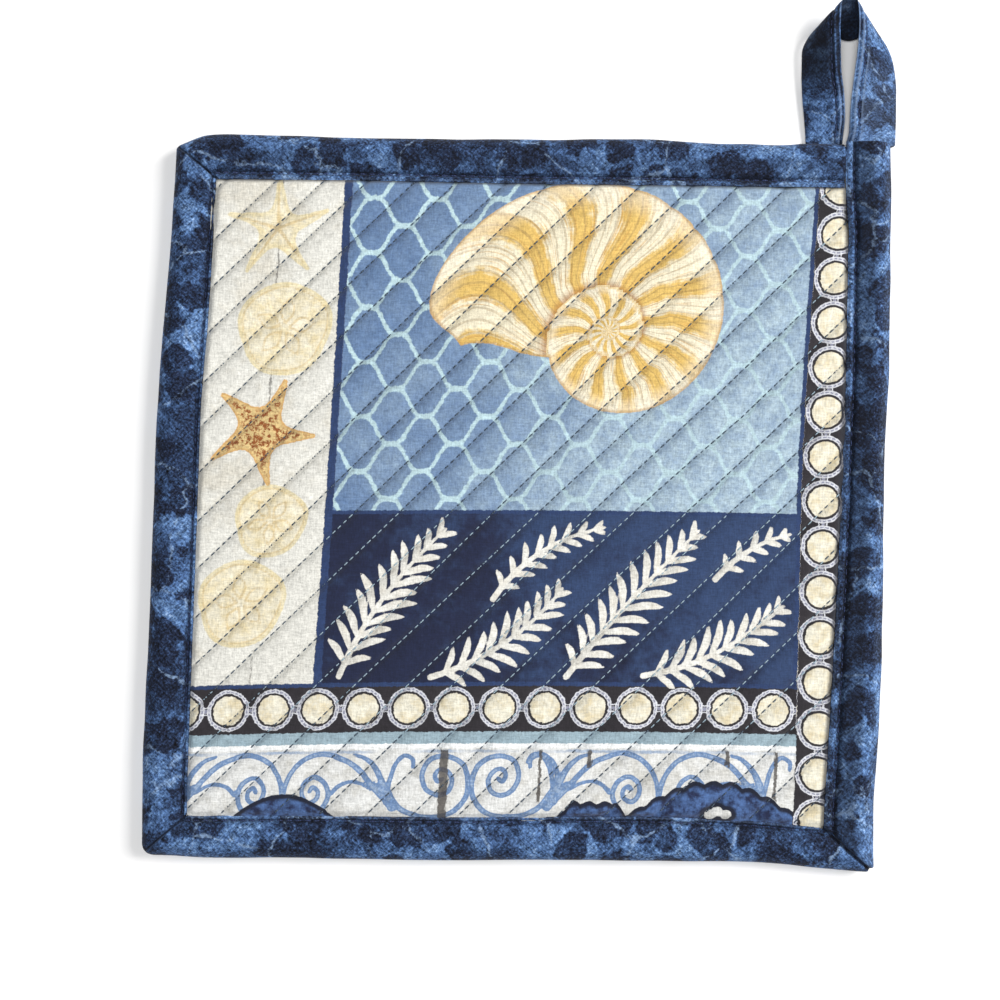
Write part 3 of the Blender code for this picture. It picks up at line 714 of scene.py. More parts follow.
def add_stitches(name, starts, ends, up, radius, arch):
    """One mesh of many stitches. Each is a thin tube from its start to its end, thinner at
    both ends, which rises by "arch" in the middle and closes at both tips."""
    turn = 2 * np.pi * np.arange(STITCH_SIDES) / STITCH_SIDES
    run = ends - starts
    side = np.cross(run, up)
    side /= np.linalg.norm(side, axis=1)[:, None]
    rise = arch * 4 * STITCH_SHARES * (1 - STITCH_SHARES)
    spine = starts[:, None, :] + run[:, None, :] * STITCH_SHARES[None, :, None]
    spine = spine + up[:, None, :] * rise[None, :, None]
    wide = radius * STITCH_GIRTH[:, None] * np.cos(turn)[None, :]
    tall = radius * STITCH_GIRTH[:, None] * np.sin(turn)[None, :]
    points = (spine[:, :, None, :] + wide[None, :, :, None] * side[:, None, None, :]
              + tall[None, :, :, None] * up[:, None, None, :])
    rings = len(STITCH_SHARES)
    skin = grid_quads(rings, STITCH_SIDES, closed=True)[:, ::-1]
    tip = np.array([(0, 1, 2), (0, 2, 3), (0, 3, 4)])
    tips = np.concatenate([tip, tip[:, ::-1] + (rings - 1) * STITCH_SIDES])
    offset = np.arange(len(starts))[:, None, None] * rings * STITCH_SIDES
    return add_mesh(name, points.reshape(-1, 3), (skin[None] + offset).reshape(-1, 4),
                    (tips[None] + offset).reshape(-1, 3))


def row_stitches(dash, seed):
    """Starts and ends of the stitches along every row, in the flat, inside the binding."""
    dice = np.random.default_rng(seed)
    number = np.arange(-62, 63)
    found = []
    for row in range(len(ROW_DRIFT)):
        along = number * STITCH_PITCH + dice.uniform(0, STITCH_PITCH)
        along = along + dice.uniform(-0.12, 0.12, len(along))
        size = dash * dice.uniform(0.86, 1.1, len(along))
        ends = [np.column_stack(turn_from_rows(place, row_lines(place)[row]))
                for place in (along - size / 2, along + size / 2)]
        shown = np.all([edge_distance(*end.T, 1) > 0.15 for end in ends], axis=0)
        found.append([end[shown] for end in ends])
    return [np.concatenate(ends) for ends in zip(*found)]


# The ring chains: spacing and first ring's place, along the foot and up the right side.
FLAT_STEP, FLAT_FIRST = 12.38, -77.0
TALL_STEP, TALL_FIRST, TALL_MIDDLE = 12.53, 76.5, 84.2
TALL_BAND = 78.0                        # u from which the right side's dark band runs


def over_stud(u, v, y):
    """Whether a place on the print is on the pale disc of a ring."""
    flat = np.hypot((u - FLAT_FIRST + FLAT_STEP / 2) % FLAT_STEP - FLAT_STEP / 2, v)
    tall = np.hypot((y - TALL_FIRST + TALL_STEP / 2) % TALL_STEP - TALL_STEP / 2,
                    u - TALL_MIDDLE)
    return np.where(u > TALL_BAND, tall, flat) < 4.3


def quilting(name, height, way, dash, seed):
    """The quilting stitches on one face, lying in its grooves; way is 1 above, -1 below. Each
    is marked where it crosses the print's dark block or bands, off their pale rings, for a
    paler copy of the thread with painted light there."""
    ends = [np.column_stack([end, height(*end.T) + 0.11 * way])
            for end in row_stitches(dash, seed)]
    up = np.tile([0.0, 0.0, way], (len(ends[0]), 1))
    piece = add_stitches(name, *ends, up, 0.19, 0.12)
    x, y = ((ends[0] + ends[1]) / 2).T[:2]
    u, v = print_place(x, y)
    dark = ((u > -53) & (v < 54)) | (np.abs(v) < 6.2) | (u > TALL_BAND)
    dark = dark & (v > -6.4) & ~over_stud(u, v, y)
    each = len(STITCH_SHARES) * STITCH_SIDES
    set_values(piece, "over_dark", np.repeat(np.where(dark, 1.0, 0.0), each))
    return piece


# ---- the print: where it lies, and the shapes drawn on it ----------------------------------
LEFT_SLANT = ((88, 2.4), (0, 0.0), (-50, -1.8), (-90, -3.0))
RIGHT_SLANT = ((88, 3.4), (50, 1.6), (26, 0.6), (0, 0.0), (-62, 0.0), (-87, -0.4))
BAND_LEVEL = 58.0                       # the ring band's middle lies this far below the square's


def print_place(x, y):
    """Place on the print, which was cut a little askew: u across it and v up from the middle
    of the ring band. The band climbs to the right on a shallow curve that fades upwards, and
    the upright lines lean by one table at the left and another at the right."""
    climb = 0.0295 * x - 0.00015 * x * x
    fade = np.clip((y + BAND_LEVEL) / 146.0, 0.0, 1.0)
    v = y + BAND_LEVEL - climb * (1.0 - 0.55 * fade)
    share = np.clip((x + 55.0) / 139.0, 0.0, 1.0)
    lean = smooth_table(LEFT_SLANT, y)[0] * (1 - share) + smooth_table(RIGHT_SLANT, y)[0] * share
    return x - lean, v


def bend(points, steps=7):
    """A smooth curve through given points: each piece is a cubic whose slope at a point is
    half the step between its neighbours."""
    points = np.asarray(points, float)
    before, after = 2 * points[:1] - points[1:2], 2 * points[-1:] - points[-2:-1]
    padded = np.concatenate([before, points, after])
    t = (np.arange(steps) / steps)[:, None]
    a, b, c, d = (padded[k:len(padded) - 3 + k][:, None] for k in range(4))
    curve = 0.5 * (2 * b + (c - a) * t + (2 * a - 5 * b + 4 * c - d) * t**2
                   + (3 * b - a - 3 * c + d) * t**3)
    return np.concatenate([curve.reshape(-1, 2), points[-1:]])


def stroke(x, y, line, start, end, belly=0.0):
    """Signed distance to a brush stroke along a line: the distance to its nearest piece, less
    half the stroke's width there, which runs from start to end and swells by its belly."""
    line = np.asarray(line, float)
    share = np.linspace(0.0, 1.0, len(line))
    half = start + (end - start) * share + belly * np.sin(np.pi * share) ** 0.8
    best = np.full(x.shape, 1e3)
    for k in range(len(line) - 1):
        ax, ay = line[k]
        bx, by = line[k + 1] - line[k]
        t = ((x - ax) * bx + (y - ay) * by) / max(bx * bx + by * by, 1e-9)
        t = np.clip(t, 0.0, 1.0)
        gap = np.hypot(x - ax - t * bx, y - ay - t * by) - half[k] - (half[k + 1] - half[k]) * t
        np.minimum(best, gap, out=best)
    return best


def near(x, y, centre, size):
    """Which points lie within a square about a centre, to save work."""
    return (np.abs(x - centre[0]) < size) & (np.abs(y - centre[1]) < size)


def merge(field, where, values):
    """Keep the smaller distance at the points that "where" picks out."""
    field[where] = np.minimum(field[where], values)


FAR = 1e2                               # the distance stored where no shape is near


# One half of a scroll, from its foot: a along, v up.
SCROLL_HALF = (
    (((-1, -27), (2.5, -23.2), (9, -16), (14, -13.4), (18.5, -12.4), (23, -13.8), (26.4, -17.3),
      (28, -21.5), (28.4, -26)), 0.75, 0.5),
    (((4.5, -22.3), (7, -20.8), (10, -20.2), (13, -21), (15.2, -23.2)), 0.35, 0.5),
    (((1.0, -21.5), (3.2, -17.0), (6.3, -13.8), (9.5, -12.6)), 0.9, 0.3),
    (((17.5, -27.5), (16, -24), (17, -20.5), (20, -18.7), (22.8, -20.5), (23.2, -23.4),
      (21.5, -25.6), (19.2, -24.8), (18.8, -22.6), (20.2, -21.4), (21.1, -22.5)), 0.6, 0.5),
    (((-1.5, -27), (0.4, -24), (3.6, -20.4)), 1.3, 0.3),
    (((0.5, -26), (-0.6, -19.5), (-1.8, -15.5), (-4.0, -13.0), (-6.4, -14.0), (-6.6, -16.2)),
     0.55, 0.45),
)
SCROLL_FEET = ((-89.0, 1), (-32.0, -1), (13.0, 1), (70.0, -1))      # u of each, and its way
COIL_AXIS = -9.7
# One of the two facing coils, from its foot: distance from the axis, and v.
COIL = ((22.5, -22.5), (18.7, -27.5), (12.7, -30.0), (5.7, -29.3), (1.4, -25.4), (0.5, -20.5),
        (2.2, -15.6), (6.7, -13.2), (11.2, -14.3), (13.1, -18.3), (11.8, -22.3), (8.8, -24.0),
        (5.9, -23.0), (4.9, -20.2), (6.1, -17.6), (8.2, -16.8), (9.6, -18.4), (8.8, -20.2),
        (7.5, -19.6))
HOOK = ((12.4, -25.0), (14.0, -20.0), (12.6, -15.0), (9.4, -12.6), (6.6, -13.0), (5.5, -15.0))


def scroll_gap(u, v):
    """Signed distance to the scrollwork: two halves about each axis, two coils between, and
    a hook beside them."""
    strokes = [(foot, way, points, start + 0.08, end + 0.12)
               for foot, way in SCROLL_FEET for points, start, end in SCROLL_HALF]
    strokes += [(COIL_AXIS, way, COIL, 0.78, 0.62) for way in (1, -1)]
    strokes.append((0.0, 1, HOOK, 0.8, 0.45))
    best = np.full(u.shape, FAR)
    here = v < -9.0
    for foot, way, points, start, end in strokes:
        line = bend([(foot + way * along, up) for along, up in points])
        merge(best, here, stroke(u[here], v[here], line, start, end))
    return best


def mound_gap(u, v):
    """Signed distance to the dark mounds along the foot of the print: one smooth hump at the
    left, a low and a high one with wavy edges at the right, and a three-lobed hole."""
    left = -23.2 - 5.0 * ((u + 60.5) / 12.5) ** 2
    low = -26.4 - 9.0 * np.clip(np.abs((u - 24.0) / 7.5) - 0.8, 0, None)
    low = low + 0.9 * np.abs(np.sin(np.pi * (u - 16.5) / 4.2))
    high = -20.6 - 7.6 * np.clip(np.abs((u - 56.5) / 18.0) - 0.15, 0, None) ** 1.5
    high = high + 1.1 * np.abs(np.sin(np.pi * (u - 38.0) / 5.2))
    gap = v - np.maximum.reduce([left, low, high])
    hole = np.minimum.reduce([np.hypot(u - c, (v + h) * 1.15) - 1.5
                              for c, h in ((55.6, 29.0), (57.6, 28.0), (59.8, 28.8))])
    return np.maximum(gap, -hole)


# Fronds on the dark block: foot, elbow and tip of each stem, and its longest leaf.
FRONDS = (
    ((-47.0, 9.0), (-40.0, 30.0), (-20.0, 49.5), 11.0),
    ((-22.0, 8.5), (0.0, 15.0), (13.0, 33.0), 9.5),
    ((-6.0, 30.0), (4.0, 46.0), (24.0, 50.0), 6.5),
    ((15.0, 8.5), (29.0, 28.0), (50.0, 49.5), 10.5),
    ((36.0, 9.0), (56.0, 12.0), (74.0, 29.0), 10.0),
    ((55.0, 36.0), (63.0, 46.0), (75.5, 49.0), 5.5),
)


def heading(angle):
    """The arrow of length 1 at an angle."""
    return np.array([math.cos(angle), math.sin(angle)])


def frond_gap(u, v):
    """Signed distance to white fronds: each is a thin stem with pairs of slender leaves that
    point up along it, longest near the middle."""
    best = np.full(u.shape, FAR)
    here = (v > 5.0) & (v < 57.0) & (u > -57.0) & (u < 80.0)
    a, b = u[here], v[here]
    found = np.full(a.shape, FAR)
    dice = np.random.default_rng(7)
    for foot, elbow, tip, longest in FRONDS:
        t = np.linspace(0.0, 1.0, 22)[:, None]
        stem = (1 - t) ** 2 * np.array(foot) + 2 * t * (1 - t) * elbow + t**2 * np.array(tip)
        found = np.minimum(found, stroke(a, b, stem, 0.85, 0.35))
        count = int(path_length(stem)[-1] / 4.2)
        for place in (np.arange(count) + 0.9) / (count + 0.6):
            i = min(int(place * 21), 20)
            ahead = stem[i + 1] - stem[i]
            root = stem[i] + ahead * (place * 21 - i)
            along = math.atan2(ahead[1], ahead[0])
            size = longest * (0.42 + 0.58 * math.sin(math.pi * min(1.0, place * 0.9 + 0.12)))
            for way in (1, -1):
                lean = along + way * (math.radians(56 - 22 * place) + dice.uniform(-0.08, 0.08))
                far = root + size * dice.uniform(0.88, 1.1) * heading(lean)
                middle = (root + far) / 2 + 0.10 * size * heading(along)
                close = near(a, b, middle, size * 0.5 + 5.0)
                merge(found, close, stroke(a[close], b[close], bend([root, middle, far], 5),
                                           0.25, 0.15, 0.055 * size + 0.30))
    best[here] = found
    return best


FIFTHS = 2 * np.pi * np.arange(5) / 5


def star_gap(x, y, centre, size, turn, fat):
    """Signed distance to a five-armed star: round-ended arms that taper from the middle,
    blended where they meet."""
    total = np.zeros(x.shape)
    for angle in turn + FIFTHS:
        tip = centre + size * heading(angle)
        elbow = (centre + tip) / 2 + 0.04 * size * heading(angle - np.pi / 2)
        arm = stroke(x, y, bend([centre, elbow, tip], 4), fat, 0.16 * fat)
        total += np.exp(-np.clip(arm, -20, 20) / 1.1)
    return -1.1 * np.log(total)


# The pale column's ornaments, from the top: kind, centre u, v, size, turn.
ORNAMENTS = (
    ("pale_star", -72.0, 133.5, 14.5, 0.35),
    ("rosette", -68.5, 105.5, 13.0, 0.2),
    ("brown_star", -73.5, 77.0, 15.0, 1.15),
    ("rosette", -69.0, 52.0, 10.0, 0.9),
    ("rosette", -75.5, 29.5, 12.0, 0.5),
)


def rosette_gaps(x, y, centre, size, turn):
    """Signed distances to a round ornament's wavy outline, and to its rim and five petals."""
    angle = np.arctan2(y - centre[1], x - centre[0])
    edge = size * (1 + 0.035 * np.sin(3 * angle + turn) + 0.02 * np.sin(5 * angle))
    gap = np.hypot(x - centre[0], y - centre[1]) - edge
    lines = np.abs(gap + 0.10 * size) - 0.25
    for lean in turn + FIFTHS:
        start, end = centre + heading(lean) * 0.10 * size, centre + heading(lean) * 0.66 * size
        for way in (1, -1):
            bulge = heading(lean + np.pi / 2) * way * 0.15 * size
            arc = bend([start, (start + end) / 2 + bulge, end], 5)
            lines = np.minimum(lines, stroke(x, y, arc, 0.32, 0.25))
    return gap, lines


def ornament_fields(u, v):
    """Signed distances to the brown star, to the pale ornaments, and to the fine drawing on
    them: petals and a rim on each rosette, a line down each arm of the pale star."""
    brown, pale, drawn = (np.full(u.shape, FAR) for _ in range(3))
    for kind, cu, cv, size, turn in ORNAMENTS:
        centre = np.array([cu, cv])
        here = near(u, v, centre, size + 6.0)
        a, b = u[here], v[here]
        if kind == "rosette":
            gap, lines = rosette_gaps(a, b, centre, size, turn)
            merge(pale, here, gap)
            merge(drawn, here, lines)
        elif kind == "brown_star":
            merge(brown, here, star_gap(a, b, centre, size, turn, 3.9))
        else:
            merge(pale, here, star_gap(a, b, centre, size, turn, 2.9))
            for lean in turn + FIFTHS:
                arm = [centre, centre + 0.86 * size * heading(lean)]
                merge(drawn, here, stroke(a, b, arm, 0.5, 0.2))
    return brown, pale, drawn


SPIRAL_POLE = (22.0, 105.0)
SPIRAL_SIZE = 57.0                      # its reach at the end of its last turn
SPIRAL_GROWTH = 0.185                   # how fast it grows, as a power for each radian
SPIRAL_MOUTH = math.radians(205)        # where that turn ends


def spiral_fields(u, v):
    """A coiled shape that grows by the same share at every turn: signed distance to its
    outline, place round it in turns counted from its mouth, and share across its whorl."""
    x, y = u - SPIRAL_POLE[0], v - SPIRAL_POLE[1]
    r = np.hypot(x, y) + 1e-6
    shrink = math.exp(-2 * math.pi * SPIRAL_GROWTH)
    angle = np.mod(np.arctan2(y, x) - SPIRAL_MOUTH, 2 * np.pi)
    whorl = np.clip((r / SPIRAL_SIZE - shrink) / (1 - shrink), 0.0, 1.0)
    angle = np.mod(angle + 0.34 * np.sin(np.pi * whorl), 2 * np.pi)
    outline = SPIRAL_SIZE * np.exp(SPIRAL_GROWTH * (angle - 2 * np.pi))
    outline = outline * (1.0 - 0.30 * ramp(angle, 2 * np.pi - 0.75, 2 * np.pi + 0.1) ** 2)
    gap = r - outline
    mouth = r * np.sin(np.clip(angle, 0, np.pi / 2))
    between = (gap > 0) & (r < SPIRAL_SIZE) & (angle < np.pi)
    gap = np.where(between, np.minimum(gap, mouth), gap)
    back = 2 * np.pi - angle
    inner = SPIRAL_SIZE * shrink
    lip = np.hypot(r * np.sin(back), np.maximum(0.0, inner - r * np.cos(back)))
    gap = np.where((back < np.pi / 2) & (gap < 0), np.maximum(gap, -lip), gap)
    lap = (angle - np.log(r / SPIRAL_SIZE) / SPIRAL_GROWTH - 2 * np.pi) / (2 * np.pi)
    lap = np.maximum(lap, 0.0)
    whole = np.floor(lap)
    turns = angle / (2 * np.pi) - whole
    return gap, turns, 1.0 - (lap - whole)


# ---- materials ----------------------------------------------------------------------------
def dye(red, green, blue, depth=0.78):
    """A screen colour, 0 to 255, as the linear colour of the cloth itself."""
    values = np.array([red, green, blue]) / 255.0
    line = np.where(values <= 0.04045, values / 12.92, ((values + 0.055) / 1.055) ** 2.4)
    return tuple(float(c) for c in line * depth)


class Shade:
    """A socket of one material. Arithmetic with it adds Math nodes to that material."""

    def __init__(self, recipe, socket):
        self.recipe, self.socket = recipe, socket

    def __add__(self, other):
        return self.recipe.maths("ADD", self, other)

    def __sub__(self, other):
        return self.recipe.maths("SUBTRACT", self, other)

    def __rsub__(self, other):
        return self.recipe.maths("SUBTRACT", other, self)

    def __mul__(self, other):
        return self.recipe.maths("MULTIPLY", self, other)

    def __truediv__(self, other):
        return self.recipe.maths("DIVIDE", self, other)

    def __abs__(self):
        return self.recipe.maths("ABSOLUTE", self)

    __radd__ = __add__
    __rmul__ = __mul__


class Recipe:
    """One material: makes its nodes and hands back their sockets."""

    def __init__(self, name):
        self.material = bpy.data.materials.new(name)
        self.material.use_nodes = True
        self.tree = self.material.node_tree
        self.tree.nodes.clear()

    def node(self, kind, settings, values, out=0):
        """A node of a kind, with its settings made first, then the numbers, colours or links
        of its sockets, by name or by number. "stops" sets a colour ramp."""
        node = self.tree.nodes.new(kind)
        for key, value in settings.items():
            if key == "stops":
                elements = node.color_ramp.elements
                while len(elements) < len(value):
                    elements.new(0.5)
                for element, (place, colour) in zip(elements, value):
                    element.position = place
                    element.color = (*colour, 1.0)
            else:
                setattr(node, key, value)
        for key, value in values.items():
            socket = node.inputs[key]
            if isinstance(value, Shade):
                self.tree.links.new(value.socket, socket)
            elif isinstance(value, tuple) and socket.type == "RGBA":
                socket.default_value = (*value[:3], 1.0)
            else:
                socket.default_value = value
        return None if out is None else Shade(self, node.outputs[out])

    def maths(self, operation, *numbers):
        return self.node("ShaderNodeMath", {"operation": operation}, dict(enumerate(numbers)))

    def most(self, first, *others):
        """The largest of several numbers."""
        for other in others:
            first = self.maths("MAXIMUM", first, other)
        return first

    def wrap(self, x, step):
        """How far x lies from the nearest whole number of steps."""
        return self.maths("WRAP", x, step / 2, -step / 2)

    def vector(self, operation, a, b):
        name = "Scale" if operation == "SCALE" else 1
        return self.node("ShaderNodeVectorMath", {"operation": operation}, {0: a, name: b})

    def rise(self, x, low, high):
        """0 below low, 1 above high, with a smooth S between; low may be the larger."""
        return self.node("ShaderNodeMapRange", {"interpolation_type": "SMOOTHSTEP"},
                         {"Value": x, "From Min": low, "From Max": high})

    def between(self, x, low, high, soft):
        """1 where x lies between low and high, with soft edges."""
        half = (high - low) / 2
        return self.rise(abs(x - (low + half)), half + soft, half - soft)

    def mix(self, share, first, second, kind="MIX"):
        """The first colour where share is 0 and the second where it is 1."""
        return self.node("ShaderNodeMix", {"data_type": "RGBA", "blend_type": kind},
                         {0: share, 6: first, 7: second}, 2)

    def ramp(self, x, stops):
        return self.node("ShaderNodeValToRGB", {"stops": stops}, {"Fac": x})

    def split(self, vector):
        first = self.node("ShaderNodeSeparateXYZ", {}, {0: vector})
        return [Shade(self, output) for output in first.socket.node.outputs]

    def join(self, x, y, z):
        return self.node("ShaderNodeCombineXYZ", {}, {0: x, 1: y, 2: z})

    def value(self, name):
        """A number stored on the mesh's points."""
        return self.node("ShaderNodeAttribute", {"attribute_name": name}, {}, 2)

    def places(self, name):
        """Three numbers stored on the mesh's points."""
        return self.node("ShaderNodeAttribute", {"attribute_name": name}, {}, 1)

    def noise(self, place, scale, detail=2.0, rough=0.5, out=0):
        return self.node("ShaderNodeTexNoise", {}, {
            "Vector": place, "Scale": scale, "Detail": detail, "Roughness": rough}, out)

    def cells(self, place, scale, feature="F1"):
        return self.node("ShaderNodeTexVoronoi", {"feature": feature},
                         {"Vector": place, "Scale": scale})

    def shaded(self, colour, grain):
        """The colour made darker or lighter by a number about 1."""
        return self.mix(1.0, colour, self.join(grain, grain, grain), "MULTIPLY")

    def finish(self, colour, rough, height, depth, sheen=0.25, gleam=0.25):
        """Cotton: the colour, its roughness, a bump of the given height and its depth in
        metres, how much fuzz catches the light, and how much the threads themselves shine."""
        bump = self.node("ShaderNodeBump", {}, {
            "Strength": 1.0, "Distance": depth, "Height": height})
        shader = self.node("ShaderNodeBsdfPrincipled", {}, {
            "Base Color": colour, "Roughness": rough, "Normal": bump, "Sheen Weight": sheen,
            "Sheen Roughness": 0.5, "Specular IOR Level": gleam})
        self.node("ShaderNodeOutputMaterial", {}, {"Surface": shader}, None)
        return self.material

    def millimetres(self):
        """The point's own place in millimetres, on axes turned with the piece."""
        place = self.node("ShaderNodeTexCoord", {}, {}, "Object")
        return self.vector("SCALE", place, 1000.0)


def weave(r, place, pitch, turned=0.0):
    """Plain weave, as a height and a shade about 0.5: two sets of threads crossing, each a
    noise drawn out long one way and short the other, so no thread runs even."""
    if turned:
        place = r.node("ShaderNodeVectorRotate", {"rotation_type": "Z_AXIS"},
                       {"Vector": place, "Angle": turned})
    x, y, z = r.split(place)
    warp = r.noise(r.join(x / pitch, y / (pitch * 5), z), 1.0, 1.0)
    weft = r.noise(r.join(x / (pitch * 5), y / pitch, z + 9.0), 1.0, 1.0)
    return (warp + weft) * 0.5


CREAM = dye(230, 229, 221)
CREAM_SHADE = dye(214, 209, 195)
PLANK = dye(232, 233, 231)
PLANK_SHADE = dye(208, 207, 201)
PALE_BLUE = dye(192, 220, 226)
CELL_DEEP = dye(103, 131, 169)
CELL_PALE = dye(186, 208, 219)
DIVIDER = dye(38, 58, 104)
BLOCK_DEEP = dye(28, 36, 66)
BLOCK_PALE = dye(48, 68, 106)
BAND = dye(36, 34, 38)
RING_GREY = dye(146, 148, 168)
RING_WHITE = dye(228, 230, 235)
STRIPE = dye(143, 167, 181)
WHITE = dye(248, 250, 250)
SCROLL_BLUE = dye(110, 139, 181)
SCROLL_LIGHT = dye(172, 192, 216)
GOLD = dye(226, 190, 108)
STRAW = dye(243, 234, 206)
BROWN = dye(168, 112, 54)
SAND = dye(230, 214, 170)
RUST = dye(150, 84, 40)
INK = dye(40, 34, 34)


RING_BEADS = 26.0                       # beads round one ring
LINK_PLACE = 6.2                        # how far a link's middle lies from its ring's


def ring_chain(r, along, across, ragged):
    """Round studs in a chain: a pale disc in a dark gap, a beaded ring with two white lines,
    and a small link to the next. Returns the chain's colour, where it lies, and the discs."""
    size = r.maths("SQRT", along * along + across * across) + ragged * 0.35
    angle = r.maths("ARCTAN2", across, along)
    beads = r.rise(r.maths("SINE", angle * RING_BEADS), 0.1, 0.7)
    lines = r.most(r.between(size, 4.72, 5.0, 0.14), r.between(size, 5.45, 5.75, 0.14),
                   beads * 0.75)
    ring_colour = r.mix(lines, RING_GREY, RING_WHITE)
    link = LINK_PLACE - abs(along)
    link_lines = r.between(abs(across) - 0.25 * abs(link), 0.72, 1.02, 0.14)
    dot = r.rise(r.maths("SQRT", link * link + across * across), 0.62, 0.42)
    link_mask = r.most(link_lines, dot) * r.rise(abs(link), 1.1, 0.85)
    disc = r.rise(size, 4.2, 3.95)
    ring = r.between(size, 4.72, 5.75, 0.12)
    colour = r.mix(link_mask, ring_colour, r.mix(dot, RING_WHITE, RING_GREY))
    return colour, r.most(ring, link_mask), disc


# The scale lattice: half its repeat across, the rise from a wave's middle to its crest, where
# u and v start, how square the waves are (small is a plain sine), and how far its lines fill
# their own corners.
SCALE_HALF, SCALE_RISE, SCALE_U, SCALE_V = 8.75, 3.83, -45.4, 73.1
SCALE_TURN, SCALE_FILL = 1.3, 1.3


def scale_lines(r, u, v):
    """Distance to the lines of a scale lattice: two families of level waves that touch at
    their crests, flat there and steep between, the gap to each taken square to its slope.
    The smooth minimum of the two fills the corners, which rounds the cells between them."""
    turn = (u - SCALE_U) / SCALE_HALF * math.pi
    swing = r.maths("COSINE", turn) * SCALE_TURN
    crest = math.sin(SCALE_TURN)
    wave = (r.maths("SINE", swing) / crest + 1.0) * SCALE_RISE
    slope = r.maths("COSINE", swing) * r.maths("SINE", turn)
    slope = slope * (SCALE_RISE * math.pi * SCALE_TURN / (SCALE_HALF * crest))
    steep = r.maths("SQRT", slope * slope + 1.0)
    level = v - SCALE_V
    gaps = [abs(r.wrap(family, SCALE_RISE * 4)) / steep
            for family in (level - wave, level + wave)]
    return r.maths("SMOOTH_MIN", *gaps, SCALE_FILL)


# The joints between boards in the foot: u, half width, and the v where each ends.
FOOT_JOINTS = ((-17.0, 1.15, -40.0), (9.0, 0.42, -26.0), (22.4, 0.62, -16.4),
               (59.6, 0.62, -15.6), (72.8, 0.45, -40.0))
COIL_BANDS, COIL_RIBS = 13.0, 64.0      # bands and ribs in one turn of the coiled shape


